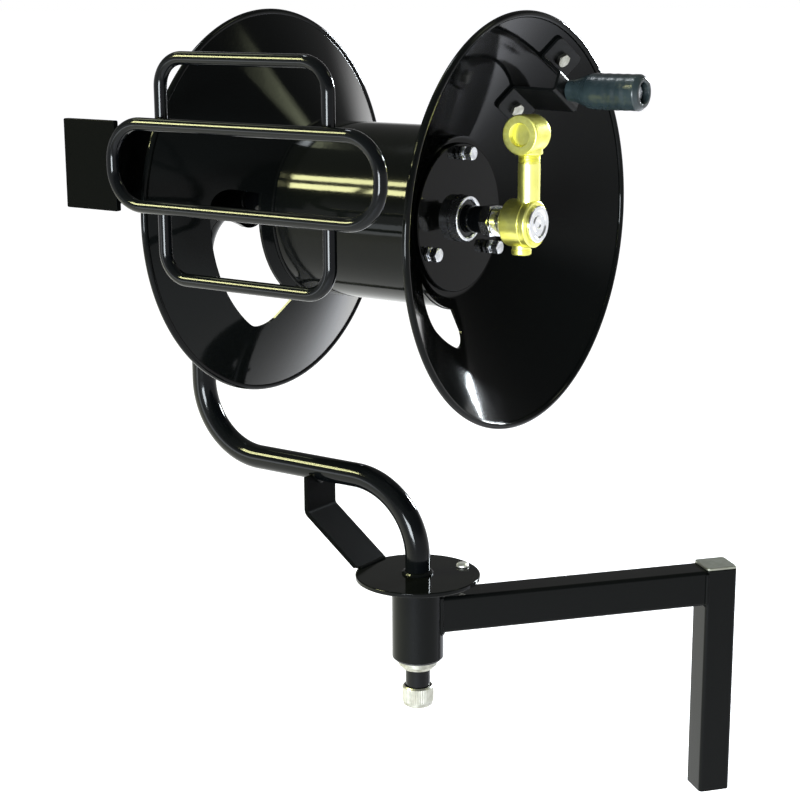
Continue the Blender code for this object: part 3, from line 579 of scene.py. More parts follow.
class Tree:
    """The nodes of one material."""

    def __init__(self, name: str) -> None:
        """Starts a material with one Principled shader."""
        self.material = bpy.data.materials.new(name)
        self.material.use_nodes = True
        self.tree = self.material.node_tree
        self.shader = self.tree.nodes["Principled BSDF"]

    @classmethod
    def of_world(cls, name: str) -> "Tree":
        """Starts the scene's world with one Background shader."""
        tree = cls.__new__(cls)
        world = bpy.data.worlds.new(name)
        world.use_nodes = True
        bpy.context.scene.world = world
        tree.tree = world.node_tree
        tree.shader = tree.tree.nodes["Background"]
        return tree

    def in_sight(self) -> Wire:
        """1 for rays from the camera and for mirrored or bent ones, 0 for the rest."""
        ray = self.node("ShaderNodeLightPath", out="Is Camera Ray")
        for kind in ("Is Glossy Ray", "Is Transmission Ray"):
            ray = ray + self.node("ShaderNodeLightPath", out=kind)
        return self.ramp(ray, 0.0, 1.0)

    def node(
        self, kind: str, settings: Optional[dict] = None, sockets: Optional[dict] = None, out: object = 0
    ) -> Wire:
        """Adds a node.

        Args:
            kind: the node's type.
            settings: its settings, with "stops" for a ramp's (place, colour) list.
            sockets: values or wires by socket name or number.
            out: the output to return, by name or number.

        Returns:
            The output as a wire.
        """
        node = self.tree.nodes.new(kind)
        for key, value in (settings or {}).items():
            if key == "stops":
                self._stops(node.color_ramp, value)
            else:
                setattr(node, key, value)
        for key, value in (sockets or {}).items():
            if isinstance(value, Wire):
                self.tree.links.new(value.socket, node.inputs[key])
            else:
                node.inputs[key].default_value = value
        return Wire(self.tree, node.outputs[out])

    @staticmethod
    def _stops(ramp: bpy.types.ColorRamp, stops: Sequence[tuple]) -> None:
        """Sets the stops of a colour ramp."""
        while len(ramp.elements) < len(stops):
            ramp.elements.new(0.5)
        for element, (place, colour) in zip(ramp.elements, stops):
            element.position = place
            element.color = colour

    def object_place(self) -> Wire:
        """The point on the piece in its own coordinates."""
        return self.node("ShaderNodeTexCoord", out="Object")

    def noise(self, place: Wire, scale: float, detail: float = 3.0, rough: float = 0.5) -> Wire:
        """Cloudy noise between 0 and 1."""
        return self.node(
            "ShaderNodeTexNoise",
            None,
            {"Vector": place, "Scale": scale, "Detail": detail, "Roughness": rough},
        )

    def stretched(self, place: Wire, scale: Sequence[float], turn: Sequence[float] = (0, 0, 0)) -> Wire:
        """The place turned and stretched, for grain that runs one way."""
        return self.node(
            "ShaderNodeMapping",
            {"vector_type": "POINT"},
            {"Vector": place, "Scale": tuple(scale), "Rotation": tuple(turn)},
        )

    def ramp(self, value: Wire, low: float, high: float) -> Wire:
        """0 below low, 1 above high and smooth between."""
        return self.node(
            "ShaderNodeMapRange",
            {"interpolation_type": "SMOOTHSTEP", "clamp": True},
            {"Value": value, "From Min": low, "From Max": high, "To Min": 0.0, "To Max": 1.0},
        )

    def blend(self, share: Wire, first: Sequence[float], second: Sequence[float]) -> Wire:
        """Mixes two colours, or colour wires, by a share."""
        node = self.tree.nodes.new("ShaderNodeMix")
        node.data_type = "RGBA"
        self.tree.links.new(share.socket, node.inputs[0])
        for place, colour in ((6, first), (7, second)):
            if isinstance(colour, Wire):
                self.tree.links.new(colour.socket, node.inputs[place])
            else:
                node.inputs[place].default_value = (*colour, 1.0)
        return Wire(self.tree, node.outputs[2])

    def facing_up(self) -> Wire:
        """How far the surface faces up, from -1 to 1."""
        normal = self.node("ShaderNodeTexCoord", out="Normal")
        return self.node("ShaderNodeSeparateXYZ", None, {"Vector": normal}, "Z")

    def worn(self, width: float) -> Wire:
        """1 on edges and corners, 0 on flat surfaces."""
        geometry = self.node("ShaderNodeNewGeometry", out="Pointiness")
        return self.ramp(geometry, 0.5 + width, 0.5 + 3 * width)

    def bump(
        self, height: Wire, distance: float, strength: float = 1.0, under: Optional[Wire] = None
    ) -> Wire:
        """A bumped normal from a height wire."""
        sockets = {"Height": height, "Distance": distance, "Strength": strength}
        if under:
            sockets["Normal"] = under
        return self.node("ShaderNodeBump", None, sockets, "Normal")

    def feed(self, **sockets: object) -> None:
        """Sets or links the shader's sockets, named with underscores for spaces."""
        for key, value in sockets.items():
            place = self.shader.inputs[key.replace("_", " ")]
            if isinstance(value, Wire):
                self.tree.links.new(value.socket, place)
            elif isinstance(value, tuple):
                place.default_value = (*value, 1.0)
            else:
                place.default_value = value


@dataclass(frozen=True)
class Paint:
    """Black enamel: deep, glossy, with a slight orange peel and a little dust on its upper faces."""

    name: str
    colour: tuple = (0.0022, 0.0026, 0.0025)
    gloss: float = 0.085
    peel: float = 0.00004
    level: float = 0.09
    dust: float = 0.10

    def material(self) -> bpy.types.Material:
        """Makes the material."""
        tree = Tree(self.name)
        place = tree.object_place()
        cloud = tree.noise(place, 38.0, 4.0, 0.6)
        speck = tree.ramp(tree.noise(place, 900.0, 2.0, 0.6), 0.66, 0.80)
        settle = tree.ramp(tree.facing_up(), 0.55, 1.0) * tree.ramp(cloud, 0.35, 0.85)
        dusty = tuple(self.colour[i] * 3.2 + (0.0035, 0.0034, 0.0028)[i] for i in range(3))
        base = tree.blend(settle * self.dust + speck * 0.05, self.colour, dusty)
        smear = tree.noise(place, 11.0, 3.0, 0.55)
        rough = tree.ramp(smear, 0.3, 0.8) * 0.05 + cloud * 0.04 + self.gloss - 0.04 + speck * 0.06
        peel = tree.noise(place, 260.0, 2.0, 0.5)
        wave = tree.noise(place, 55.0, 1.0, 0.4)
        normal = tree.bump(wave, self.peel * 1.6, 0.55, tree.bump(peel, self.peel, 0.45))
        tree.feed(Base_Color=base, Roughness=rough, Normal=normal, Specular_IOR_Level=self.level)
        return tree.material


@dataclass(frozen=True)
class Plating:
    """Plated or bare metal with a fine grain, cloudy patches and brighter worn edges."""

    name: str
    colour: tuple
    shade: tuple
    rough: float
    grain: float
    patch: float
    stretch: tuple = (1.0, 1.0, 1.0)
    lift: float = 0.00004

    def material(self) -> bpy.types.Material:
        """Makes the material."""
        tree = Tree(self.name)
        place = tree.object_place()
        cloud = tree.ramp(tree.noise(place, self.patch, 4.0, 0.6), 0.32, 0.70)
        fine = tree.noise(tree.stretched(place, self.stretch), self.grain, 4.0, 0.65)
        edge = tree.worn(0.012)
        base = tree.blend(cloud, self.shade, self.colour)
        base = tree.blend(edge * 0.45, base, tuple(min(1.0, c * 1.12 + 0.04) for c in self.colour))
        rough = self.rough + cloud * -0.06 + fine * 0.12 - 0.03
        normal = tree.bump(fine, self.lift, 0.7)
        tree.feed(Base_Color=base, Roughness=rough, Normal=normal, Metallic=1.0)
        return tree.material


@dataclass(frozen=True)
class Moulding:
    """Moulded plastic: fine sandy skin, faint handling shine and a cloudy darker tone."""

    name: str
    colour: tuple
    dark: tuple
    rough: float
    sand: float = 0.00006
    level: float = 0.45

    def material(self) -> bpy.types.Material:
        """Makes the material."""
        tree = Tree(self.name)
        place = tree.object_place()
        cloud = tree.noise(place, 45.0, 4.0, 0.6)
        sand = tree.noise(place, 1500.0, 3.0, 0.6)
        handled = tree.ramp(tree.noise(place, 22.0, 2.0, 0.5), 0.42, 0.66)
        base = tree.blend(tree.ramp(cloud, 0.25, 0.8), self.dark, self.colour)
        rough = self.rough + sand * 0.10 - handled * 0.08
        normal = tree.bump(sand, self.sand, 0.6)
        tree.feed(Base_Color=base, Roughness=rough, Normal=normal, Specular_IOR_Level=self.level)
        return tree.material


class Finish(Enum):
    """The finishes on this reel, each with the slot of the record that it stands for."""

    GLOSS = (Paint("gloss_black_enamel"), "black_paint")
    # Lit copy of the black enamel: the same paint, but reflecting more strongly and a touch bluer, so the
    # rods and pipe show painted highlights brighter than the rest.
    ROD = (Paint("rod_black_enamel_lit_copy", (0.0018, 0.0022, 0.0026), 0.10, 0.00001, 0.14), "black_paint")
    SATIN = (Paint("satin_black_enamel", (0.0040, 0.0044, 0.0043), 0.30, 0.00009, 0.12, 0.2), "black_paint")
    # Shaded copy of the black enamel: the same paint with a darker colour and almost no reflection, which
    # paints shade onto the gusset and the guide plate.
    FLAT = (Paint("flat_black_enamel_shaded_copy", (0.0012, 0.0014, 0.0013), 0.42, 0.00010, 0.015, 0.1), "black_paint")
    STEEL = (
        Plating(
            "mill_steel_cap", (0.28, 0.29, 0.24), (0.18, 0.19, 0.15), 0.40, 420.0, 70.0, (1.0, 0.08, 1.0)
        ),
        "bare_steel",
    )
    ZINC = (Plating("zinc_plate", (0.78, 0.80, 0.83), (0.56, 0.58, 0.60), 0.26, 700.0, 160.0), "zinc")
    DULL_ZINC = (
        Plating("dull_zinc_plate", (0.42, 0.42, 0.37), (0.26, 0.26, 0.22), 0.34, 700.0, 160.0),
        "zinc",
    )
    MATT_ZINC = (
        Plating("matt_zinc_plate", (0.90, 0.90, 0.82), (0.76, 0.76, 0.68), 0.46, 700.0, 160.0),
        "zinc",
    )
    CHROME = (Plating("bright_chrome", (0.86, 0.87, 0.88), (0.70, 0.72, 0.74), 0.12, 500.0, 120.0), "chrome")
    BRASS = (
        Plating(
            "yellow_brass",
            (0.92, 0.90, 0.26),
            (0.80, 0.77, 0.15),
            0.38,
            420.0,
            60.0,
            (1.0, 1.0, 1.0),
            0.00002,
        ),
        "brass",
    )
    GRIP = (
        Moulding("grip_plastic_skin", (0.022, 0.034, 0.037), (0.010, 0.017, 0.019), 0.24, 0.00004, 0.45),
        "grip_plastic",
    )
    BUSH = (Moulding("bush_plastic_skin", (0.030, 0.030, 0.032), (0.016, 0.016, 0.018), 0.50), "bush_plastic")

    def material(self) -> bpy.types.Material:
        """The finish's material, made on its first use."""
        recipe = self.value[0]
        return bpy.data.materials.get(recipe.name) or recipe.material()


def dress(piece: Piece, finish: Finish, body: Body, *nodes: str) -> Piece:
    """Gives a piece its finish, its body and the CAD nodes that it stands for.

    Args:
        piece: the modelled piece.
        finish: its finish.
        body: the body that it moves with.
        nodes: the CAD nodes that it replaces.

    Returns:
        The same piece.
    """
    Bench.settle(piece)
    piece.data.materials.clear()
    piece.data.materials.append(finish.material())
    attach(piece, body.value)
    if nodes:
        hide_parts(*nodes)
    log.info("%s: %d faces on %s", piece.name, len(piece.data.polygons), body.value)
    return piece


# Sub-assemblies


def anchor(joint: str) -> Vector:
    """The point that a joint turns about."""
    return Vector(next(row["pos_m"] for row in frame["joints"] if row["name"] == joint))


SWING = anchor("arm_swing")
REEL = anchor("reel_spin")
BAR_ANGLE = radians(50.9)
UPRIGHT = Axes(SWING, UP, EAST)
AXLE = Axes(REEL, EAST, NORTH)
AXLE_LEFT = Axes(REEL, -EAST, -NORTH)
BAR_WAY = Vector((cos(BAR_ANGLE), sin(BAR_ANGLE), 0.0))
BAR_SIDE = Vector((-sin(BAR_ANGLE), cos(BAR_ANGLE), 0.0))
BAR = Axes(SWING, BAR_WAY, BAR_SIDE)


@dataclass
class Bracket:
    """The fixed bracket: square post, crossbar, pivot sleeve and its bushes."""

    tube: float = 0.0365
    bar_height: float = 0.040
    wall: float = 0.003
    corner: float = 0.004
    reach: float = 0.3470
    length: float = 0.2672
    drop: float = 0.0372
    cap: float = 0.003
    housing_radius: float = 0.0278
    housing_bore: float = 0.0222
    housing_height: float = 0.0865
    bush_length: float = 0.022
    bush_flange: float = 0.0015
    bush_flange_radius: float = 0.0255
    pipe_radius: float = PIPE_RADIUS

    def build(self) -> None:
        """Builds and dresses every piece of the bracket."""
        self.post()
        self.post_cap()
        self.crossbar()
        self.housing()
        self.bushes()
        self.welds()

    def _square(self, name: str, axes: Axes, size: tuple[float, float], ends: tuple[float, float]) -> Piece:
        """A square tube with rounded corners, run along an axis between two ends.

        Args:
            name: name of the piece.
            axes: the tube's frame, its run along the first direction.
            size: outside width and height.
            ends: where it starts and ends.

        Returns:
            The tube.
        """
        start, end = ends
        outline = [axes.at(start, u, v) for u, v in oblong(*size, self.corner)]
        piece = Bench.draw(name, [*outline, outline[0]])
        bpy.ops.mesh.edge_face_add()
        bpy.ops.mesh.inset(thickness=self.wall)
        Bench.pick(piece, "FACE", lambda f: len(f.verts) > 4)
        bpy.ops.mesh.delete(type="FACE")
        bpy.ops.mesh.select_all(action="SELECT")
        bpy.ops.mesh.extrude_region_move(TRANSFORM_OT_translate={"value": axes.along * (end - start)})
        return Bench.close(piece)

    def post(self) -> None:
        """The upright square tube that a carrier holds."""
        top = self.bar_height / 2 - self.drop
        axes = Axes(BAR.at(self.reach), UP, BAR.along)
        cap_top = top + GAP + self.cap
        post = self._square("post_tube", axes, (self.tube, self.tube), (cap_top - self.length, top))
        Bench.bevel(post, 0.0004, 2, 50.0)
        dress(post, Finish.GLOSS, Body.BRACKET, "mounting_post")

    def post_cap(self) -> None:
        """The bare plate that closes the post."""
        bottom = self.bar_height / 2 - self.drop + GAP
        axes = Axes(BAR.at(self.reach), UP, BAR.along)
        size = self.tube - 0.0004
        outline = [axes.at(bottom, u, v) for u, v in oblong(size, size, self.corner)]
        cap = Bench.press("post_end_plate", outline, UP * self.cap)
        Bench.bevel(cap, 0.0007, 3, 50.0)
        dress(cap, Finish.STEEL, Body.BRACKET, "post_cap")

    def crossbar(self) -> None:
        """The level square tube from the sleeve to the post, coped round the sleeve."""
        axes = Axes(BAR.origin - UP * self.drop, BAR.along, BAR.out)
        end = self.reach - self.tube / 2 - GAP
        bar = self._square("crossbar_tube", axes, (self.tube, self.bar_height), (0.014, end))
        radius = self.housing_radius + GAP
        cope = [(-0.10, 0.0), (-0.10, radius), (0.02, radius), (0.02, 0.0)]
        Bench.combine(bar, Bench.turn("cope", UPRIGHT, cope, 128), Cut.AWAY)
        Bench.shade(bar, 40.0)
        dress(bar, Finish.GLOSS, Body.BRACKET, "crossbar")

    def housing(self) -> None:
        """The sleeve that the arm turns in, with broken edges."""
        line = ring_line(-self.housing_height, 0.0, self.housing_bore, self.housing_radius, 0.0016, 0.0008)
        dress(Bench.turn("pivot_sleeve", UPRIGHT, line, 128), Finish.GLOSS, Body.BRACKET, "pivot_housing")

    def bushes(self) -> None:
        """The flanged bushes in both ends of the sleeve."""
        bore, body = self.pipe_radius + RUNNING, self.housing_bore - RUNNING
        outline = [
            (-self.bush_length, bore, 0.0004),
            (-self.bush_length, body, 0.0008),
            (GAP, body),
            (GAP, self.bush_flange_radius, 0.0003),
            (GAP + self.bush_flange, self.bush_flange_radius, 0.0006),
            (GAP + self.bush_flange, bore, 0.0003),
        ]
        top = eased(outline, 3)
        bottom = [(-self.housing_height - along, radius) for along, radius in top]
        dress(Bench.turn("bush_upper", UPRIGHT, top, 96), Finish.BUSH, Body.BRACKET, "upper_bush")
        dress(Bench.turn("bush_lower", UPRIGHT, bottom, 96), Finish.BUSH, Body.BRACKET, "lower_bush")

    def welds(self) -> None:
        """Beads where the crossbar meets the sleeve and the post."""
        bead = Bead(0.0022)
        level = Axes(SWING - UP * self.drop, UP, BAR.along)
        half_w, half_h = self.tube / 2, self.bar_height / 2
        spread = asin(half_w / self.housing_radius)
        beads = []
        for side in (-1, 1):
            beads.append(bead.ring("bead", level, side * half_h, self.housing_radius, -spread, 2 * spread))
            foot = self.housing_radius * cos(spread)
            ends = [level.at(z, foot, side * half_w) for z in (-half_h, half_h)]
            beads.append(bead.line("bead", *ends))
        end = self.reach - self.tube / 2
        low, high = -half_h + 0.002, half_h - 0.003
        for side in (-1, 1):
            width = half_w - 0.003
            ends = [level.at(z, end, side * half_w) for z in (low, high)]
            beads.append(bead.line("bead", *ends))
            if side < 0:
                beads.append(bead.line("bead", level.at(-half_h, end, -width), level.at(-half_h, end, width)))
        seam = Bench.merge(beads)
        seam.name = "bracket_welds"
        dress(seam, Finish.GLOSS, Body.BRACKET)


@dataclass
class Arm:
    """The swinging arm: bent water pipe, swivel plate, gusset, collar and axle nipple."""

    pipe_radius: float = PIPE_RADIUS
    pipe_bore: float = 0.0104
    bends: tuple = (0.0, 0.080, 0.080, 0.070, 0.0)
    foot: float = -0.1405
    run_height: float = 0.103
    run_length: float = 0.2935
    axle_height: float = 0.390
    axle_end: float = 0.1060
    plate_radius: float = 0.0665
    plate_thickness: float = 0.005
    plate_bottom: float = 0.0021
    pin_radius: float = 0.004
    pin_circle: float = 0.053
    pin_angle: float = radians(59)
    gusset_width: float = 0.050
    gusset_thickness: float = 0.005
    gusset_x: float = -0.1300
    gusset_bend: float = 0.058
    gusset_top: float = 0.098
    gusset_foot: float = -0.0635
    pipe_bead: float = 0.0028
    gusset_bead: float = 0.0020
    pipe_bead_lift: float = 0.0006
    gusset_bead_lift: float = 0.0004
    gusset_bead_arc: float = radians(150)
    collar_radius: float = 0.021
    collar_height: float = 0.0105
    collar_top: float = -0.0886
    nipple_start: float = 0.1150
    nipple_flats: float = 0.030
    nipple_neck: float = 0.0152
    nipple_thread: float = 0.0009
    nipple_pitch: float = 0.00165
    nipple_end: float = 0.1390

    def build(self) -> None:
        """Builds and dresses every piece of the arm."""
        self.pipe()
        self.plate()
        self.pin()
        self.gusset()
        self.collar()
        self.nipple()
        self.welds()

    def pipe(self) -> None:
        """One pipe bent four times: foot, run, riser and axle."""
        corners = [
            UPRIGHT.at(self.foot),
            UPRIGHT.at(self.run_height),
            UPRIGHT.at(self.run_height, -self.run_length),
            UPRIGHT.at(self.axle_height, -self.run_length),
            UPRIGHT.at(self.axle_height, self.axle_end),
        ]
        pipe = Bench.sweep("bent_water_pipe", Route.through(corners, self.bends, 30), self.pipe_radius, 64)
        wall = self.pipe_radius - self.pipe_bore
        Bench.bore(pipe, corners[0], -UP, wall, 0.040)
        Bench.bore(pipe, corners[-1], EAST, wall, 0.040)
        # Lit copy of the black paint: painted highlights brighter than on the other black parts.
        dress(pipe, Finish.ROD, Body.ARM, "water_pipe")

    def plate(self) -> None:
        """The round plate on top of the pivot."""
        top = self.plate_bottom + self.plate_thickness
        line = ring_line(self.plate_bottom, top, self.pipe_radius + GAP, self.plate_radius, 0.0012)
        plate = Bench.turn("pivot_plate", UPRIGHT, line, 144)
        hole = [(-0.01, 0.0), (-0.01, self.pin_radius + GAP), (0.02, self.pin_radius + GAP), (0.02, 0.0)]
        Bench.combine(plate, Bench.turn("drill", self._pin_axes(), hole, 48), Cut.AWAY)
        Bench.shade(plate)
        dress(plate, Finish.GLOSS, Body.ARM, "swivel_plate")

    def _pin_axes(self) -> Axes:
        """Frame of the locking pin."""
        across, beside = self.pin_circle * cos(self.pin_angle), self.pin_circle * sin(self.pin_angle)
        return UPRIGHT.moved(0.0, across, beside)

    def pin(self) -> None:
        """The zinc pin with its domed head."""
        top = self.plate_bottom + self.plate_thickness + GAP
        line = eased(
            [
                (-0.010, 0.0),
                (-0.010, self.pin_radius - 0.0006, 0.0005),
                (-0.008, self.pin_radius, 0.001),
                (top, self.pin_radius),
                (top, 0.0068, 0.0005),
                (top + 0.0022, 0.0066, 0.0012),
                (top + 0.0040, 0.0045, 0.0015),
                (top + 0.0045, 0.0),
            ],
            5,
        )
        pin = Bench.turn("plate_pin", self._pin_axes(), line, 64)
        dress(pin, Finish.MATT_ZINC, Body.ARM, "swivel_plate_pin")

    def gusset(self) -> None:
        """The bent flat bar under the pipe's run."""
        foot = self.plate_bottom + self.plate_thickness + GAP
        half = self.gusset_thickness / 2
        lean = atan2(self.gusset_bend - foot, self.gusset_foot - self.gusset_x)
        shift = half * tan((pi / 2 - lean) / 2)
        reach = half / sin(lean)
        outline = [
            (self.gusset_x - half, self.gusset_top),
            (self.gusset_x - half, self.gusset_bend - shift, 0.010),
            (self.gusset_foot - reach, foot),
            (self.gusset_foot + reach, foot),
            (self.gusset_x + half, self.gusset_bend + shift, 0.005),
            (self.gusset_x + half, self.gusset_top),
        ]
        wide = self.gusset_width / 2
        points = [UPRIGHT.at(z, x, -wide) for x, z in eased(outline, 8)]
        gusset = Bench.press("gusset_bar", points, UPRIGHT.side * self.gusset_width)
        notch_axes = Axes(UPRIGHT.at(self.run_height), EAST, NORTH)
        radius = self.pipe_radius + GAP
        notch = [(-0.16, 0.0), (-0.16, radius), (-0.09, radius), (-0.09, 0.0)]
        Bench.combine(gusset, Bench.turn("notch", notch_axes, notch, 96), Cut.AWAY)
        Bench.bevel(gusset, 0.0005, 2, 50.0)
        # Shaded copy of the black paint: painted shade, darker than the other black parts.
        dress(gusset, Finish.FLAT, Body.ARM, "arm_gusset")

    def collar(self) -> None:
        """The zinc collar under the sleeve, turned down to a neck."""
        bore, top = self.pipe_radius + GAP, self.collar_top
        line = eased(
            [
                (top, bore, 0.0004),
                (top, self.collar_radius, 0.0009),
                (top - 0.0060, self.collar_radius, 0.0010),
                (top - 0.0074, self.collar_radius - 0.0032, 0.0008),
                (top - self.collar_height, self.collar_radius - 0.0045, 0.0012),
                (top - self.collar_height, bore, 0.0004),
            ],
            5,
        )
        dress(Bench.turn("sleeve_collar", UPRIGHT, line, 112), Finish.DULL_ZINC, Body.ARM, "lower_collar")

    def nipple(self) -> None:
        """The hexagon nipple on the axle's end, with its thread."""
        bore = (self.pipe_radius + GAP) / cos(pi / 12)
        hex_end = self.nipple_start + 0.011
        body = Bench.hexagon("axle_hexagon", AXLE, self.nipple_start, hex_end, self.nipple_flats, True)
        root = self.nipple_neck - self.nipple_thread
        neck = ridged_line(
            hex_end + 0.0010, self.nipple_end - 0.0012, self.nipple_neck, root, self.nipple_pitch
        )
        line = [
            (hex_end - 0.002, 0.0),
            (hex_end - 0.002, self.nipple_neck - 0.0012),
            (hex_end + 0.0008, self.nipple_neck - 0.0012),
            *neck,
            (self.nipple_end, self.nipple_neck - 0.0014),
            (self.nipple_end, 0.0),
        ]
        Bench.combine(body, Bench.turn("neck", AXLE, line, 96), Cut.JOIN)
        hole = [(0.10, 0.0), (0.10, bore), (0.15, bore), (0.15, 0.0)]
        Bench.combine(body, Bench.turn("hole", AXLE, hole, 96), Cut.AWAY)
        Bench.shade(body, 28.0)
        dress(body, Finish.CHROME, Body.ARM, "axle_nipple")

    def welds(self) -> None:
        """Beads round the pipe on the plate and along the gusset."""
        top = self.plate_bottom + self.plate_thickness
        big, small = Bead(self.pipe_bead), Bead(self.gusset_bead)
        radius = self.pipe_radius + self.pipe_bead_lift
        beads = [big.ring("bead", UPRIGHT, top + self.pipe_bead_lift, radius)]
        half, wide = self.gusset_thickness / 2, self.gusset_width / 2 - 0.003
        lean = atan2(self.gusset_bend - top, self.gusset_foot - self.gusset_x)
        reach = half / sin(lean)
        for edge in (self.gusset_foot - reach - 0.0008, self.gusset_foot + reach - 0.0002):
            ends = [UPRIGHT.at(top + self.gusset_bead_lift, edge, side) for side in (-wide, wide)]
            beads.append(small.line("bead", *ends))
        run = Axes(UPRIGHT.at(self.run_height), EAST, NORTH)
        spread = self.gusset_bead_arc
        for edge in (self.gusset_x - half, self.gusset_x + half):
            beads.append(small.ring("bead", run, edge, radius, -pi / 2 - spread / 2, spread))
        seam = Bench.merge(beads)
        seam.name = "arm_welds"
        dress(seam, Finish.GLOSS, Body.ARM)


@dataclass
class InletNut:
    """The knurled ring nut that turns on the foot of the pipe."""

    radius: float = 0.017
    pipe_radius: float = PIPE_RADIUS
    top: float = -0.1185
    height: float = 0.0225
    teeth: int = 54
    depth: float = 0.0005

    def build(self) -> None:
        """Builds and dresses the nut."""
        low = self.top - self.height
        count = 2 * self.teeth
        rim = []
        for i in range(count):
            radius = self.radius - (self.depth if i % 2 else 0.0)
            rim.append(UPRIGHT.at(low, radius * cos(i * tau / count), radius * sin(i * tau / count)))
        nut = Bench.press("ring_nut", rim, UP * self.height)
        bore = self.pipe_radius + RUNNING
        line = eased(
            [
                (self.top, bore, 0.0006),
                (self.top, self.radius - 0.0018, 0.0008),
                (self.top - 0.0024, self.radius + 0.0003, 0.0006),
                (low + 0.0052, self.radius + 0.0003, 0.0004),
                (low + 0.0046, self.radius - 0.0009, 0.0003),
                (low + 0.0016, self.radius - 0.0010, 0.0008),
                (low, self.radius - 0.0026, 0.0006),
                (low, bore, 0.0005),
            ],
            4,
        )
        Bench.combine(nut, Bench.turn("blank", UPRIGHT, line, 144), Cut.KEEP)
        Bench.shade(nut, 28.0)
        dress(nut, Finish.DULL_ZINC, Body.NUT, "inlet_nut")


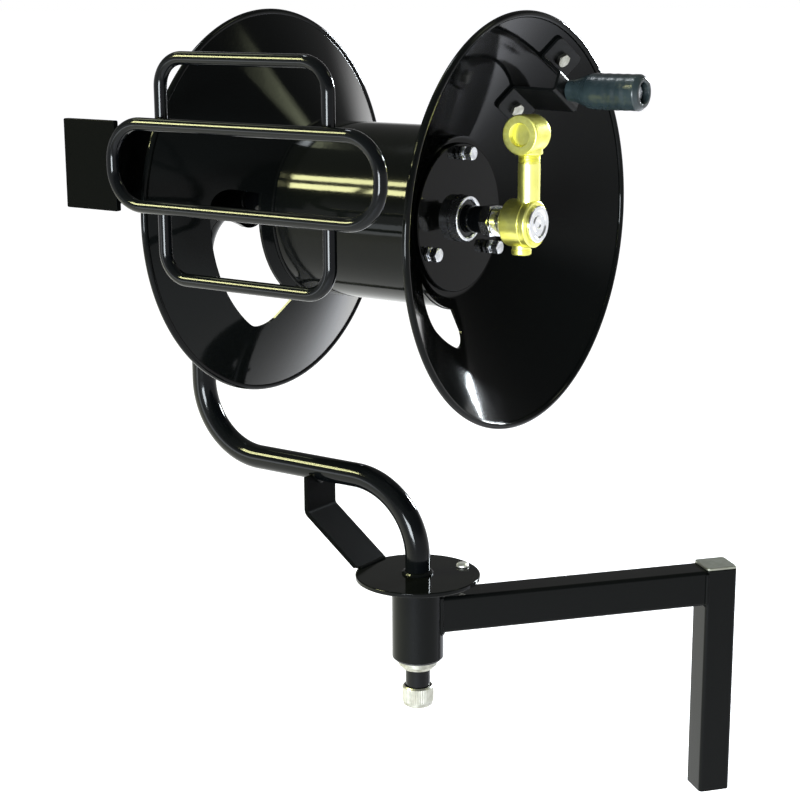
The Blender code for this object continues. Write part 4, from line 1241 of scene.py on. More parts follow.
@dataclass
class HoseGuide:
    """The hose guide in front of the reel: arm, plate, a closed loop and two bows of round rod."""

    rod: float = 0.00635
    plate_front: float = -0.2373
    plate_thickness: float = 0.006
    plate_x: tuple = (-0.2245, -0.1570)
    plate_z: tuple = (0.0145, 0.1015)
    plate_corner: float = 0.0015
    arm_x: float = -0.190
    arm_thickness: float = 0.006
    arm_z: tuple = (0.0165, 0.0920)
    eye_radius: float = 0.030
    pipe_radius: float = PIPE_RADIUS
    wide_x: tuple = (-0.1535, 0.162)
    wide_z: tuple = (0.0228, 0.1005)
    wide_bend: float = 0.036
    tall_x: tuple = (-0.1010, 0.0965)
    tall_z: tuple = (-0.0460, 0.1620)
    tall_bend: float = 0.027
    upper_lap: float = 0.0045
    lower_lap: float = 0.0020
    plate_weld: float = 0.0100
    rod_bead: float = 0.0018
    bow_bead: float = 0.0042
    seat_inset: float = 0.0036
    seat_sink: float = 0.0008
    arm_bead: float = 0.0022
    arm_bead_short: float = 0.003
    eye_bead_lift: float = 0.0004

    @property
    def wide_y(self) -> float:
        """Depth of the wide loop's rod."""
        return self.plate_front - GAP - self.rod

    @property
    def tall_y(self) -> float:
        """Depth of the tall loop's rod, behind the wide one."""
        return self.wide_y + 2 * self.rod + GAP

    def build(self) -> None:
        """Builds and dresses every piece of the guide."""
        self.arm()
        self.plate()
        self.loop()
        self.bows()
        self.welds()

    def arm(self) -> None:
        """The flat bar from the plate back to an eye round the axle."""
        low, high = self.arm_z
        front = self.plate_front + self.plate_thickness + GAP
        points = [(front, low), (front, high), (-0.060, high, 0.010)]
        for step in range(25):
            angle = radians(62) - step * radians(185) / 24
            points.append((self.eye_radius * cos(angle), self.eye_radius * sin(angle)))
        points.append((-0.120, low, 0.060))
        start = self.arm_x - self.arm_thickness / 2
        outline = [AXLE.at(start, y, z) for y, z in eased(points, 8)]
        arm = Bench.press("guide_bar", outline, EAST * self.arm_thickness)
        radius = self.pipe_radius + GAP
        hole = [(-0.21, 0.0), (-0.21, radius), (-0.17, radius), (-0.17, 0.0)]
        Bench.combine(arm, Bench.turn("eye", AXLE, hole, 96), Cut.AWAY)
        Bench.bevel(arm, 0.0005, 2, 50.0)
        dress(arm, Finish.GLOSS, Body.ARM, "guide_arm")

    def plate(self) -> None:
        """The flat plate that carries the loops."""
        (left, right), (low, high) = self.plate_x, self.plate_z
        ease = self.plate_corner
        corners = [(left, low, ease), (right, low, ease), (right, high, ease), (left, high, ease)]
        outline = [AXLE.at(x, self.plate_front, z) for x, z in eased(corners, 4)]
        plate = Bench.press("guide_face_plate", outline, NORTH * self.plate_thickness)
        Bench.bevel(plate, 0.0006, 2, 50.0)
        # Shaded copy of the black paint: painted shade, darker than the other black parts.
        dress(plate, Finish.FLAT, Body.ARM, "guide_plate")

    def loop(self) -> None:
        """The wide closed loop of round rod."""
        (left, right), (low, high) = self.wide_x, self.wide_z
        places = ((left, low), (right, low), (right, high), (left, high))
        corners = [AXLE.at(x, self.wide_y, z) for x, z in places]
        route = Route.through(corners, [self.wide_bend] * 4, 20, True)
        rod = Bench.sweep("wide_hose_loop", route, self.rod, 40)
        # Lit copy of the black paint: painted highlights brighter than on the other black parts.
        dress(rod, Finish.ROD, Body.ARM, "guide_loop_wide")

    def bows(self) -> None:
        """The two bows of round rod that stand up and down behind the wide loop, as one piece."""
        (left, right), (low, high) = self.tall_x, self.tall_z
        bows = []
        for foot, top in ((self.wide_z[1] - self.upper_lap, high), (self.wide_z[0] + self.lower_lap, low)):
            places = ((left, foot), (left, top), (right, top), (right, foot))
            corners = [AXLE.at(x, self.tall_y, z) for x, z in places]
            route = Route.through(corners, [0.0, self.tall_bend, self.tall_bend, 0.0], 20)
            bows.append(Bench.sweep("bow", route, self.rod, 40))
        bow = Bench.merge(bows)
        bow.name = "tall_hose_bows"
        # Lit copy of the black paint: painted highlights brighter than on the other black parts.
        dress(bow, Finish.ROD, Body.ARM, "guide_loop_tall")

    def welds(self) -> None:
        """Beads where the bows meet the loop and where the loop lies on the plate."""
        small = Bead(self.rod_bead)
        beads = []
        middle = (self.wide_y + self.tall_y) / 2
        for x in self.tall_x:
            for z in self.wide_z:
                for side in (-1, 1):
                    place = AXLE.at(x + side * self.bow_bead, middle, z)
                    beads.append(small.line("bead", place - UP * self.bow_bead, place + UP * self.bow_bead))
        seat = (self.wide_x[0] - self.seat_inset, self.plate_front - self.seat_sink)
        middle = sum(self.wide_z) / 2
        for side in (-1, 1):
            end = AXLE.at(*seat, middle + side * self.plate_weld)
            beads.append(small.line("bead", AXLE.at(*seat, middle), end))
        back = self.plate_front + self.plate_thickness
        for side in (-1, 1):
            x = self.arm_x + side * self.arm_thickness / 2
            heights = (self.arm_z[0] + self.arm_bead_short, self.arm_z[1] - self.arm_bead_short)
            ends = [AXLE.at(x, back, z) for z in heights]
            beads.append(Bead(self.arm_bead).line("bead", *ends))
            beads.append(Bead(self.arm_bead).ring("bead", AXLE, x, self.pipe_radius + self.eye_bead_lift))
        seam = Bench.merge(beads)
        seam.name = "guide_welds"
        dress(seam, Finish.GLOSS, Body.ARM)


@dataclass
class Reel:
    """The reel: drum, two dished discs, hub plates, bearing rings, bushes and bolts."""

    radius: float = 0.2025
    half_gap: float = 0.1617
    sheet: float = 0.0025
    hub_x: float = 0.0795
    flat_radius: float = 0.0795
    bead: float = 0.0035
    centre_hole: float = 0.0200
    drum_radius: float = 0.0905
    drum_wall: float = 0.002
    plate_radius: float = 0.0745
    plate_thickness: float = 0.004
    ring_radius: float = 0.0230
    ring_bore: float = 0.0186
    ring_length: float = 0.0152
    bush_start: float = 0.0700
    bush_end: float = 0.0925
    bolt_circle: float = 0.0645
    bolt_first: float = radians(87)
    bolt_shank: float = 0.004
    bolt_flats: float = 0.013
    bolt_head: float = 0.007
    crank_head: float = 0.0044
    nut_height: float = 0.0036
    standoff: float = 0.0080
    pipe_radius: float = PIPE_RADIUS
    right_hole: tuple = (0.0915, 0.1310, radians(217.4), radians(258.2), 0.022)
    left_hole: tuple = (0.1008, 0.1447, radians(167), radians(242), 0.019)
    crank_radii: tuple = (0.1230, 0.1785)
    crank_angle: float = radians(61)
    crank_sheet: float = 0.003
    crank_width: float = 0.048

    def build(self) -> None:
        """Builds and dresses every piece of the reel."""
        self.drum()
        for side in (-1, 1):
            self.disc(side)
            self.hub(side)
        self.bolts()

    @property
    def slope(self) -> float:
        """How far the cone goes outwards for each metre of radius."""
        return (self.half_gap - self.bead - self.hub_x) / (self.radius - self.bead - self.flat_radius)

    def cone_x(self, radius: float) -> float:
        """X of the right cone's outer face at a radius."""
        return self.hub_x + (radius - self.flat_radius) * self.slope

    def disc_line(self) -> Line:
        """Half section of a spun disc: flat centre, soft knee, cone and rolled rim."""
        outer, inner = self.hub_x, self.hub_x - self.sheet
        rim_x, rim_r = self.half_gap - self.bead, self.radius - self.bead
        lean = atan2(rim_x - outer, rim_r - self.flat_radius)
        shift = self.sheet * tan(lean / 2)
        bead_x = rim_x - self.sheet / 2 * cos(lean)
        bead_r = rim_r + self.sheet / 2 * sin(lean)
        turn = pi - asin(self.sheet / 2 / self.bead)
        roll = []
        for step in range(25):
            angle = lean - turn + step * 2 * turn / 24
            roll.append((bead_x + self.bead * sin(angle), bead_r + self.bead * cos(angle)))
        inside = [(inner, self.centre_hole, 0.0004), (inner, self.flat_radius + shift, 0.010)]
        outside = [(outer, self.flat_radius, 0.0085), (outer, self.centre_hole, 0.0004)]
        line = eased([*inside, roll[0], roll[-1], *outside], 10)
        start = next(i for i, point in enumerate(line) if (Vector(point) - Vector(roll[0])).length < MERGE)
        line[start : start + 2] = self._along(line[start - 1], roll, line[start + 2])
        return line

    @staticmethod
    def _along(before: tuple, roll: Line, after: tuple) -> Line:
        """Adds rings along the two long sides of the cone, next to the rolled rim."""
        inner = [tuple(Vector(before).lerp(Vector(roll[0]), i / 12)) for i in range(1, 12)]
        outer = [tuple(Vector(roll[-1]).lerp(Vector(after), i / 12)) for i in range(1, 12)]
        return inner + roll + outer

    def hole_outline(self, side: int) -> Line:
        """Outline in Y and Z of the hole that the hose passes through."""
        inner, outer, low, high, corner = self.right_hole if side > 0 else self.left_hole
        reach = outer - corner
        trim = asin(corner / reach)
        points = []
        for middle, begin in ((low + trim, low + trim - pi / 2), (high - trim, high - trim)):
            for step in range(13):
                angle = begin + step * pi / 24
                y = reach * cos(middle) + corner * cos(angle)
                points.append((y, reach * sin(middle) + corner * sin(angle)))
            if middle < high - trim - 0.01:
                for step in range(1, 24):
                    angle = low + trim + step * (high - low - 2 * trim) / 24
                    points.append((outer * cos(angle), outer * sin(angle)))
        for step in range(25):
            angle = high + step * (low - high) / 24
            points.append((inner * cos(angle), inner * sin(angle)))
        return points

    def bolt_axes(self, side: int, number: int) -> Axes:
        """Frame of a hub bolt."""
        axle = AXLE if side > 0 else AXLE_LEFT
        angle = self.bolt_first + number * tau / 3
        return axle.moved(0.0, self.bolt_circle * cos(angle), self.bolt_circle * sin(angle))

    @property
    def lean(self) -> float:
        """Angle between the cone and a plane across the axle."""
        return atan2(self.slope, 1.0)

    def ear_seat(self, radius: float) -> tuple[float, float]:
        """Middle of a crank ear, which rests on the hollow cone along its two side edges."""
        lift = self.crank_sheet / 2 / cos(self.lean) + 2 * GAP
        return radius, self.cone_x(hypot(radius, self.crank_width / 2)) + lift

    def ear_height(self, radius: float) -> float:
        """Height of an ear's outer face over the cone, square to the cone."""
        return (self.ear_seat(radius)[1] - self.cone_x(radius)) * cos(self.lean) + self.crank_sheet / 2

    def crank_axes(self, radius: float) -> Axes:
        """Frame on the right cone at the crank's line, its first direction square to the sheet."""
        lean = self.lean
        spoke = NORTH * cos(self.crank_angle) + UP * sin(self.crank_angle)
        normal = EAST * cos(lean) - spoke * sin(lean)
        return Axes(AXLE.at(self.cone_x(radius)) + spoke * radius, normal, EAST.cross(spoke).normalized())

    @staticmethod
    def drill(axes: Axes, start: float, end: float, radius: float) -> Piece:
        """A plain rod to cut a hole with."""
        return Bench.turn("drill", axes, [(start, 0.0), (start, radius), (end, radius), (end, 0.0)], 40)

    def disc(self, side: int) -> None:
        """One dished disc with its hose hole and bolt holes."""
        word = "right" if side > 0 else "left"
        axle = AXLE if side > 0 else AXLE_LEFT
        disc = Bench.turn(f"{word}_spun_disc", axle, self.disc_line(), 400)
        outline = [AXLE.at(side * 0.05, y, z) for y, z in self.hole_outline(side)]
        Bench.combine(disc, Bench.press("hole", outline, EAST * side * 0.11), Cut.AWAY)
        for number in range(3):
            tool = self.drill(self.bolt_axes(side, number), 0.060, 0.100, self.bolt_shank + GAP)
            Bench.combine(disc, tool, Cut.AWAY)
        if side > 0:
            for radius in self.crank_radii:
                tool = self.drill(self.crank_axes(radius), -0.010, 0.010, self.bolt_shank + GAP)
                Bench.combine(disc, tool, Cut.AWAY)
        Bench.shade(disc, 38.0)
        dress(disc, Finish.GLOSS, Body.REEL, f"{word}_disc")

    def hub(self, side: int) -> None:
        """The bolted hub plate, the bearing ring and the bush of one disc."""
        word = "right" if side > 0 else "left"
        axle = AXLE if side > 0 else AXLE_LEFT
        start = self.hub_x + GAP
        end = start + self.plate_thickness
        line = ring_line(start, end, self.ring_radius + GAP, self.plate_radius, 0.0014)
        plate = Bench.turn(f"{word}_hub_disc", axle, line, 144)
        for number in range(3):
            tool = self.drill(self.bolt_axes(side, number), 0.060, 0.100, self.bolt_shank + GAP)
            Bench.combine(plate, tool, Cut.AWAY)
        Bench.shade(plate)
        dress(plate, Finish.GLOSS, Body.REEL, f"{word}_hub_plate")
        far = start + self.ring_length
        ring = eased(
            [
                (start, self.ring_bore, 0.0004),
                (start, self.ring_radius, 0.0004),
                (far, self.ring_radius, 0.0014),
                (far, self.ring_bore + 0.0012, 0.0006),
                (far - 0.0012, self.ring_bore, 0.0004),
            ],
            5,
        )
        zinc = Bench.turn(f"{word}_zinc_ring", axle, ring, 112)
        dress(zinc, Finish.ZINC, Body.REEL, f"{word}_bearing_ring")
        bore, outside = self.pipe_radius + RUNNING, self.ring_bore - GAP
        bush = ring_line(self.bush_start, self.bush_end, bore, outside, 0.0008)
        plain = Bench.turn(f"{word}_plain_bush", axle, bush, 96)
        dress(plain, Finish.BUSH, Body.REEL, f"{word}_bearing_bush")

    def bolt(self, name: str, axes: Axes, under: float, tip: float, seat: float, head_height: float) -> Piece:
        """A hexagon bolt: head above under and a threaded shank down to tip.

        Args:
            name: name of the piece.
            axes: the bolt's frame.
            under: where the head starts.
            tip: where the shank ends.
            seat: where the threaded part starts.
            head_height: height of the head.

        Returns:
            The bolt.
        """
        head = Bench.hexagon(name, axes, under, under + head_height, self.bolt_flats)
        thread = ridged_line(seat, tip + 0.0012, self.bolt_shank, self.bolt_shank - 0.0005, 0.00125)
        line = [
            (under + 0.002, 0.0),
            (under + 0.002, self.bolt_shank),
            (seat, self.bolt_shank - 0.0002),
            *thread,
            (tip + 0.0004, self.bolt_shank - 0.0010),
            (tip, self.bolt_shank - 0.0014),
            (tip, 0.0),
        ]
        Bench.combine(head, Bench.turn("shank", axes, line, 48), Cut.JOIN)
        return Bench.shade(head, 28.0)

    def bolts(self) -> None:
        """One hub bolt, copied to its six places, and the two bolts of the crank."""
        end = self.hub_x + GAP + self.plate_thickness
        home = self.bolt_axes(1, 0)
        under = end + self.standoff - 0.001
        pattern = self.bolt("hub_bolt", home, under, self.hub_x - 0.007, under - 0.001, self.bolt_head)
        nut = Bench.hexagon("hub_nut", home, end + GAP, end + GAP + self.nut_height, self.bolt_flats, True)
        Bench.combine(pattern, nut, Cut.JOIN)
        Bench.shade(pattern, 28.0)
        for side, word in ((1, "right"), (-1, "left")):
            for number in range(3):
                turn = Matrix.Rotation(number * tau / 3, 4, EAST)
                flip = Matrix.Rotation(pi, 4, UP) if side < 0 else Matrix.Identity(4)
                change = Matrix.Translation(REEL) @ flip @ turn @ Matrix.Translation(-REEL)
                bolt = Bench.copy(pattern, f"{word}_bolt_{number + 1}", change)
                dress(bolt, Finish.ZINC, Body.REEL, f"{word}_hub_bolt_{number + 1}")
        bpy.data.objects.remove(pattern, do_unlink=True)
        for number, radius in enumerate(self.crank_radii, 1):
            under = self.ear_height(radius) + GAP
            axes = self.crank_axes(radius)
            bolt = self.bolt(f"crank_screw_{number}", axes, under, -0.008, under - 0.0007, self.crank_head)
            dress(bolt, Finish.DULL_ZINC, Body.REEL, f"crank_bolt_{number}")

    def drum(self) -> None:
        """The tube that the hose winds on, its ends cut to the cones, with a bead at each."""
        rim_x, rim_r = self.half_gap - self.bead, self.radius - self.bead
        lean = atan2(rim_x - self.hub_x, rim_r - self.flat_radius)
        face = self.hub_x - self.sheet / cos(lean)
        outside = face + (self.drum_radius - self.flat_radius) * self.slope - 0.0010
        inside = outside - self.drum_wall * self.slope
        line = eased(
            [
                (-inside, self.drum_radius - self.drum_wall),
                (-outside, self.drum_radius, 0.0003),
                (outside, self.drum_radius, 0.0003),
                (inside, self.drum_radius - self.drum_wall),
            ],
            3,
        )
        dress(Bench.turn("winding_drum", AXLE, line, 240), Finish.GLOSS, Body.REEL, "drum")
        beads = []
        for axle in (AXLE, AXLE_LEFT):
            beads.append(Bead(0.0018).ring("bead", axle, outside - 0.0002, self.drum_radius))
        seam = Bench.merge(beads)
        seam.name = "drum_welds"
        dress(seam, Finish.GLOSS, Body.REEL)


@dataclass
class Swivel:
    """The brass swivel on the axle's end: body, gland, plug, riser and elbow."""

    radius: float = 0.0232
    start: float = 0.1395
    end: float = 0.1720
    gland_radius: float = 0.0182
    gland_length: float = 0.0035
    riser_x: float = 0.1635
    riser_radius: float = 0.0108
    riser_thread: float = 0.0007
    riser_pitch: float = 0.0014
    riser_thread_length: float = 0.0075
    elbow_z: float = 0.0868
    elbow_radius: float = 0.0195
    elbow_front: float = -0.0190
    elbow_back: float = 0.0150
    socket_radius: float = 0.0130
    socket_foot: float = 0.0670
    port_radius: float = 0.0105
    port_depth: float = 0.0056

    def build(self) -> None:
        """Builds and dresses every piece of the swivel."""
        self.body()
        self.gland()
        self.plug_and_riser()
        self.elbow()

    def body(self) -> None:
        """The turned body with a groove behind its face."""
        line = eased(
            [
                (self.start, 0.0),
                (self.start, self.radius - 0.0052, 0.0006),
                (self.start + 0.0040, self.radius, 0.0014),
                (self.end - 0.0085, self.radius, 0.0003),
                (self.end - 0.0080, self.radius - 0.0005, 0.0003),
                (self.end - 0.0072, self.radius - 0.0005, 0.0003),
                (self.end - 0.0067, self.radius, 0.0003),
                (self.end, self.radius, 0.0020),
                (self.end, 0.0),
            ],
            6,
        )
        dress(Bench.turn("swivel_barrel", AXLE, line, 128), Finish.BRASS, Body.REEL, "swivel_body")

    def gland(self) -> None:
        """The bright gland in the face, turned in steps."""
        start, end = self.end + GAP, self.end + GAP + self.gland_length
        line = eased(
            [
                (start, 0.0),
                (start, self.gland_radius, 0.0004),
                (end, self.gland_radius, 0.0011),
                (end, 0.0135, 0.0005),
                (end - 0.0015, 0.0122, 0.0005),
                (end - 0.0015, 0.0086, 0.0003),
                (end - 0.0004, 0.0080, 0.0004),
                (end - 0.0004, 0.0040, 0.0004),
                (end - 0.0016, 0.0030, 0.0003),
                (end - 0.0016, 0.0),
            ],
            5,
        )
        dress(Bench.turn("swivel_face", AXLE, line, 112), Finish.CHROME, Body.REEL, "swivel_gland")

    def _cope(self) -> Piece:
        """The barrel's shape, to cut what stands on it."""
        radius = self.radius + GAP
        low, high = self.start - 0.02, self.end + 0.01
        return Bench.turn("cope", AXLE, [(low, 0.0), (low, radius), (high, radius), (high, 0.0)], 128)

    def plug_and_riser(self) -> None:
        """The hexagon plug below the barrel and the pipe above it."""
        middle = (self.start + self.end) / 2
        axes = Axes(AXLE.at(middle), UP, EAST)
        line = eased(
            [
                (-0.0312, 0.0),
                (-0.0312, 0.0086, 0.0006),
                (-0.0300, 0.0098, 0.0006),
                (-0.0262, 0.0098, 0.0003),
                (-0.0258, 0.0092, 0.0002),
                (-0.0150, 0.0092),
                (-0.0150, 0.0),
            ],
            4,
        )
        plug = Bench.turn("barrel_plug", axes, line, 72)
        Bench.combine(plug, self._cope(), Cut.AWAY)
        Bench.shade(plug)
        dress(plug, Finish.BRASS, Body.REEL, "swivel_plug")
        axes = Axes(AXLE.at(self.riser_x), UP, EAST)
        root = self.riser_radius - self.riser_thread
        foot, top = self.socket_foot - self.riser_thread_length, self.socket_foot - GAP
        thread = ridged_line(foot, top, self.riser_radius, root, self.riser_pitch)
        line = [
            (0.0150, 0.0),
            (0.0150, self.riser_radius),
            (self.socket_foot - 0.0085, self.riser_radius),
            (self.socket_foot - 0.0078, root),
            *thread,
            (self.socket_foot - GAP, 0.0),
        ]
        riser = Bench.turn("swivel_riser", axes, line, 80)
        Bench.combine(riser, self._cope(), Cut.AWAY)
        Bench.shade(riser)
        dress(riser, Finish.BRASS, Body.REEL, "brass_riser")

    def elbow(self) -> None:
        """The elbow, its socket on the riser and the threaded port at its front."""
        axes = Axes(AXLE.at(self.riser_x, 0.0, self.elbow_z), NORTH, UP)
        front, back = self.elbow_front, self.elbow_back
        line = eased(
            [
                (front, 0.0),
                (front, self.elbow_radius, 0.0016),
                (front + 0.0075, self.elbow_radius, 0.0006),
                (front + 0.0085, self.elbow_radius - 0.0010, 0.0008),
                (back, self.elbow_radius - 0.0008, 0.0100),
                (back, 0.0),
            ],
            10,
        )
        elbow = Bench.turn("elbow_casting", axes, line, 112)
        upright = Axes(AXLE.at(self.riser_x), UP, EAST)
        foot = self.socket_foot
        socket = eased(
            [
                (foot, 0.0),
                (foot, self.socket_radius, 0.0012),
                (foot + 0.0058, self.socket_radius, 0.0008),
                (foot + 0.0068, self.socket_radius - 0.0008, 0.0005),
                (self.elbow_z - 0.002, self.socket_radius - 0.0008),
                (self.elbow_z - 0.002, 0.0),
            ],
            5,
        )
        Bench.combine(elbow, Bench.turn("socket", upright, socket, 96), Cut.JOIN)
        crest, root = self.port_radius, self.port_radius + 0.0006
        deep = front + self.port_depth
        port = [
            (deep, 0.0),
            *ridged_line(deep, front + 0.0012, crest, root, 0.0014),
            (front + 0.0004, root),
            (front - 0.0004, root + 0.0008),
            (front - 0.010, root + 0.0008),
            (front - 0.010, 0.0),
        ]
        Bench.combine(elbow, Bench.turn("port", axes, port, 96), Cut.AWAY)
        Bench.shade(elbow, 30.0)
        dress(elbow, Finish.BRASS, Body.REEL, "brass_elbow")


@dataclass
class Crank:
    """The crank: folded bracket, spindle, nut and the grip that turns on it."""

    reel: Reel
    sheet: float = 0.003
    width: float = 0.048
    web_x: float = 0.165
    web_radii: tuple = (0.1315, 0.1510)
    ear_radii: tuple = ((0.1110, 0.1330), (0.1665, 0.1895))
    reach: float = 0.1425
    grip_start: float = 0.1672
    grip_end: float = 0.2500
    base_radius: float = 0.0105
    grip_radius: float = 0.0178
    spindle_radius: float = 0.0045
    nut_flats: float = 0.013
    spindle_thread: float = 0.0005
    spindle_pitch: float = 0.00125

    @property
    def spoke(self) -> Vector:
        """Direction from the axle to the crank."""
        return NORTH * cos(self.reel.crank_angle) + UP * sin(self.reel.crank_angle)

    @property
    def axes(self) -> Axes:
        """Frame of the grip's axis."""
        return Axes(REEL + self.spoke * self.reach, EAST, self.spoke)

    def build(self) -> None:
        """Builds and dresses every piece of the crank."""
        self.bracket()
        self.nut()
        self.spindle()
        self.grip()

    def _fold_line(self) -> list[tuple[float, float, float]]:
        """Fold line of the hat bracket: distance from the axle, X and bend radius."""
        (low_tip, low_fold), (high_fold, high_tip) = self.ear_radii
        seat = self.reel.ear_seat
        bend = 0.0035
        return [
            (*seat(low_tip), 0.0),
            (*seat(low_fold), bend),
            *((radius, self.web_x, bend) for radius in self.web_radii),
            (*seat(high_fold), bend),
            (*seat(high_tip), 0.0),
        ]

    def _strip(self) -> Line:
        """Outline of the folded sheet seen edge on."""
        path = eased(self._fold_line(), 8)
        left: Line = []
        right: Line = []
        for i, point in enumerate(path):
            here = Vector(point)
            before = Vector(path[max(i - 1, 0)])
            after = Vector(path[min(i + 1, len(path) - 1)])
            if i == 0:
                before = here - (after - here)
            if i == len(path) - 1:
                after = here + (here - before)
            run_in, run_out = (here - before).normalized(), (after - here).normalized()
            mean = (run_in + run_out).normalized()
            normal = Vector((-mean.y, mean.x)) * (self.sheet / 2 / max(0.5, mean.dot(run_in)))
            left.append(tuple(here + normal))
            right.append(tuple(here - normal))
        return left + right[::-1]

    def bracket(self) -> None:
        """The hat-shaped bracket, pressed from sheet, with rounded ears."""
        side = EAST.cross(self.spoke)
        start = -side * self.width / 2
        outline = [REEL + self.spoke * u + EAST * x + start for u, x in self._strip()]
        bracket = Bench.press("crank_hat_bracket", outline, side * self.width)
        ends = (self.ear_radii[0][0], self.ear_radii[1][1])

        def at_ear(edge: bmesh.types.BMEdge) -> bool:
            """Whether an edge is one of the four short ones at the ears' corners."""
            a, b = (vert.co for vert in edge.verts)
            middle = (a + b) / 2 - REEL
            off = abs(middle.dot(side)) > self.width / 2 - 0.0005
            reach = middle.dot(self.spoke)
            short = abs((a - b).length - self.sheet) < 0.0004
            return off and short and min(abs(reach - end) for end in ends) < 0.0020

        Bench.round_edges(bracket, at_ear, 0.0060, 8)
        for radius in self.reel.crank_radii:
            tool = Reel.drill(self.reel.crank_axes(radius), -0.010, 0.015, self.reel.bolt_shank + GAP)
            Bench.combine(bracket, tool, Cut.AWAY)
        tool = Reel.drill(self.axes, self.web_x - 0.01, self.web_x + 0.01, self.spindle_radius + GAP)
        Bench.combine(bracket, tool, Cut.AWAY)
        Bench.bevel(bracket, 0.0004, 2, 50.0)
        dress(bracket, Finish.SATIN, Body.REEL, "crank_bracket")

    @property
    def nut_end(self) -> float:
        """X of the nut's face against the bracket."""
        return self.web_x - self.sheet / 2 - GAP

    def nut(self) -> None:
        """The nut that holds the spindle."""
        turned = Axes(self.axes.origin, -EAST, self.spoke)
        nut = Bench.hexagon("spindle_nut", turned, -self.nut_end, -self.nut_end + 0.007, self.nut_flats)
        hole = Reel.drill(self.axes, self.nut_end - 0.02, self.nut_end + 0.01, self.spindle_radius + GAP)
        Bench.combine(nut, hole, Cut.AWAY)
        Bench.shade(nut, 28.0)
        dress(nut, Finish.ZINC, Body.REEL, "crank_nut")

    def spindle(self) -> None:
        """The shoulder bolt that the grip turns on."""
        tip = self.nut_end - 0.011
        root = self.spindle_radius - self.spindle_thread
        thread = ridged_line(tip + 0.0010, self.nut_end, self.spindle_radius, root, self.spindle_pitch)
        line = [
            (tip, 0.0),
            (tip, self.spindle_radius - 0.0012),
            (tip + 0.0006, self.spindle_radius - 0.0006),
            *thread,
            (self.nut_end + 0.0006, self.spindle_radius),
            (self.grip_end - 0.0110, self.spindle_radius),
            *eased(
                [
                    (self.grip_end - 0.0110, 0.0082, 0.0003),
                    (self.grip_end - 0.0062, 0.0082, 0.0012),
                    (self.grip_end - 0.0055, 0.0060, 0.0010),
                    (self.grip_end - 0.0055, 0.0),
                ],
                4,
            )[1:],
        ]
        spindle = Bench.turn("grip_spindle", self.axes, line, 56)
        dress(spindle, Finish.ZINC, Body.REEL, "crank_spindle")

    def grip(self) -> None:
        """The moulded grip with its flared shoulder and hollow end."""
        bore = self.spindle_radius + RUNNING
        start, end, big = self.grip_start, self.grip_end, self.grip_radius
        wave = [(start + 0.0340 + i * 0.00125, big - 0.00014 * (1 - cos(i * pi / 4))) for i in range(32)]
        line = eased(
            [
                (start, bore, 0.0004),
                (start, self.base_radius, 0.0010),
                (start + 0.0080, self.base_radius + 0.0006, 0.006),
                (start + 0.0250, big - 0.0006, 0.008),
                (start + 0.0310, big, 0.002),
                *wave,
                (end - 0.0045, big, 0.003),
                (end, big - 0.0036, 0.0022),
                (end, 0.0112, 0.0008),
                (end - 0.0015, 0.0100, 0.0006),
                (end - 0.0110 - RUNNING, 0.0100, 0.0004),
                (end - 0.0110 - RUNNING, bore, 0.0003),
            ],
            8,
        )
        grip = Bench.turn("turning_grip", self.axes, line, 96)
        dress(grip, Finish.GRIP, Body.GRIP, "crank_grip")


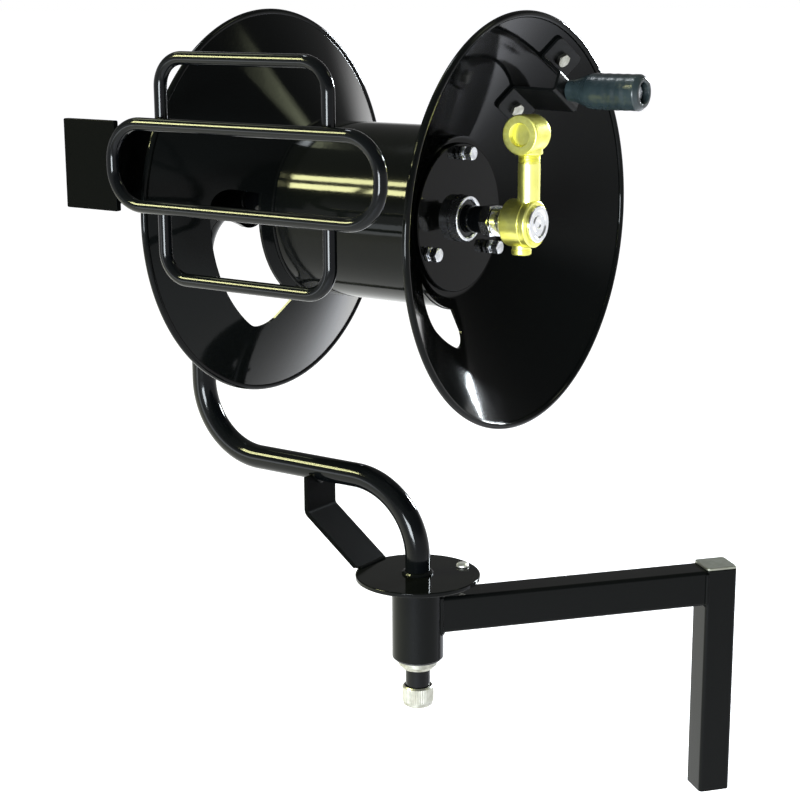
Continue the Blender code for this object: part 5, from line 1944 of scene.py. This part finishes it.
@dataclass
class Studio:
    """The plain stage: pale floor, soft lamps, world and camera."""

    floor_z: float = -0.48
    camera_from: tuple = (0.797846, -1.772651, 0.8458)
    azimuth: float = 35.194
    elevation: float = 13.142
    roll: float = -0.249
    lens: float = 80.40
    aim: Vector = REEL
    strip_far: float = 3.0

    def build(self) -> None:
        """Sets up the stage."""
        self.world()
        self.floor()
        self.lamps()
        self.camera()

    @staticmethod
    def towards(azimuth: float, elevation: float) -> Vector:
        """Direction to an azimuth and an elevation in degrees, 0 at -Y and 90 at +X."""
        a, e = radians(azimuth), radians(elevation)
        return Vector((sin(a) * cos(e), -cos(a) * cos(e), sin(e)))

    def world(self) -> None:
        """A plain white horizon that darkens overhead."""
        tree = Tree.of_world("studio_world")
        place = tree.node("ShaderNodeTexCoord", out="Generated")
        height = tree.node("ShaderNodeSeparateXYZ", None, {"Vector": place}, "Z")
        rise = tree.ramp(height, sin(radians(2)), sin(radians(18)))
        sky = tree.blend(rise, (1.0, 1.0, 1.0), (0.20, 0.20, 0.20))
        tree.feed(Color=tree.blend(tree.in_sight(), (0.30, 0.30, 0.30), sky))

    def floor(self) -> None:
        """A wide pale floor that keeps the object's shadow."""
        Bench.clear()
        place = (0, 0, self.floor_z)
        bpy.ops.mesh.primitive_circle_add(vertices=64, radius=90.0, fill_type="NGON", location=place)
        floor = Bench.adopt("studio_floor")
        Bench.clear()
        tree = Tree("pale_floor")
        tone = tree.noise(tree.object_place(), 3.0, 2.0, 0.5)
        base = tree.blend(tree.ramp(tone, 0.2, 0.8), (0.48, 0.48, 0.56), (0.50, 0.50, 0.58))
        glow = tree.blend(tree.in_sight(), (0.0, 0.0, 0.0), (1.0, 1.0, 1.0))
        tree.feed(Base_Color=base, Roughness=0.9, Specular_IOR_Level=0.0)
        tree.feed(Emission_Color=glow, Emission_Strength=0.88)
        floor.data.materials.append(tree.material)

    def _lamp(self, name: str, kind: str, power: float, colour: tuple) -> Piece:
        """A lamp that the camera doesn't see, at the origin."""
        data = bpy.data.lights.new(name, kind)
        data.energy = power
        data.color = colour
        lamp = bpy.data.objects.new(name, data)
        lamp.visible_camera = False
        bpy.context.scene.collection.objects.link(lamp)
        return lamp

    def _panel(
        self, name: str, azimuth: float, elevation: float, far: float, size: tuple, glow: float, colour: tuple
    ) -> None:
        """An oblong lamp that faces the reel.

        Args:
            name: name of the lamp.
            azimuth: direction that it shines from, in degrees.
            elevation: its height above the horizon, in degrees.
            far: its distance from the reel.
            size: its width and height.
            glow: how bright its face is.
            colour: its colour.
        """
        lamp = self._lamp(name, "AREA", glow * pi * size[0] * size[1], colour)
        lamp.data.shape = "RECTANGLE"
        lamp.data.size, lamp.data.size_y = size
        way = self.towards(azimuth, elevation)
        lamp.location = self.aim + way * far
        lamp.rotation_euler = way.to_track_quat("Z", "Y").to_euler()

    def _strip(
        self, name: str, rise: float, slide: float, size: tuple, glow: float, colour: tuple
    ) -> None:
        """A long lamp that lies along the reel's axle, up on the left as the photograph's lamps are.

        Args:
            name: name of the lamp.
            rise: its height over the axle in degrees, seen along the axle from -Y.
            slide: how far its middle lies to the left, as a share of its distance.
            size: its length and width.
            glow: how bright its face is.
            colour: its colour.
        """
        lamp = self._lamp(name, "AREA", glow * pi * size[0] * size[1], colour)
        lamp.data.shape = "RECTANGLE"
        lamp.data.size, lamp.data.size_y = size
        way = Vector((0.0, -cos(radians(rise)), sin(radians(rise))))
        lamp.location = self.aim + (way - EAST * slide) * self.strip_far
        lamp.rotation_euler = Matrix((EAST, way.cross(EAST), way)).transposed().to_euler()

    def lamps(self) -> None:
        """Strip lamps up on the left, low panels in front and a narrow window behind."""
        lemon, olive, cool = (1.0, 1.0, 0.50), (0.93, 1.0, 0.66), (0.88, 0.95, 1.0)
        self._strip("lower_strip", 32.4, 0.78, (1.3, 0.34), 105.0, lemon)
        self._strip("upper_strip", 43.6, 0.78, (1.3, 0.32), 95.0, lemon)
        self._strip("ceiling_glow", 95.0, 0.98, (1.3, 0.60), 6.0, olive)
        self._strip("top_window", 93.0, 0.50, (0.5, 0.5), 26.0, cool)
        for number, size in enumerate((0.75, 0.55, 0.38, 0.22)):
            far = 3.0 + number * 0.01
            self._panel(f"right_ceiling_{number}", 132.0, 42.0, far, (size, size * 0.8), 2.4, olive)
        self._panel("front_window", 16.0, -4.0, 2.4, (0.85, 0.62), 60.0, cool)
        self._panel("front_fill", 8.0, -11.0, 2.5, (1.5, 0.5), 1.3, cool)
        self._panel("left_fill", -36.0, -12.0, 2.6, (0.7, 0.5), 5.0, cool)
        self._panel("back_window", 172.0, 12.0, 3.0, (0.32, 0.6), 200.0, cool)

    def camera(self) -> None:
        """The camera at the photograph's place."""
        back = self.towards(self.azimuth, self.elevation)
        right = Vector((cos(radians(self.azimuth)), sin(radians(self.azimuth)), 0.0))
        up = back.cross(right)
        c, s = cos(radians(self.roll)), sin(radians(self.roll))
        rows = (right * c + up * s, up * c - right * s, back)
        data = bpy.data.cameras.new("studio_camera")
        data.lens = self.lens
        data.sensor_width = 36.0
        camera = bpy.data.objects.new("studio_camera", data)
        bpy.context.scene.collection.objects.link(camera)
        turn = Matrix(rows).transposed().to_4x4()
        camera.matrix_world = Matrix.Translation(Vector(self.camera_from)) @ turn
        data.clip_end = 200.0
        bpy.context.scene.camera = camera


def main() -> None:
    """Builds the reel piece by piece and sets the stage."""
    logging.basicConfig(level=logging.INFO, format="%(message)s")
    bpy.context.scene.view_settings.view_transform = "Standard"
    reel = Reel()
    for part in (Bracket(), Arm(), InletNut(), HoseGuide(), reel, Swivel(), Crank(reel), Studio()):
        log.info("building %s", type(part).__name__)
        part.build()


if __name__ == "__main__":
    main()
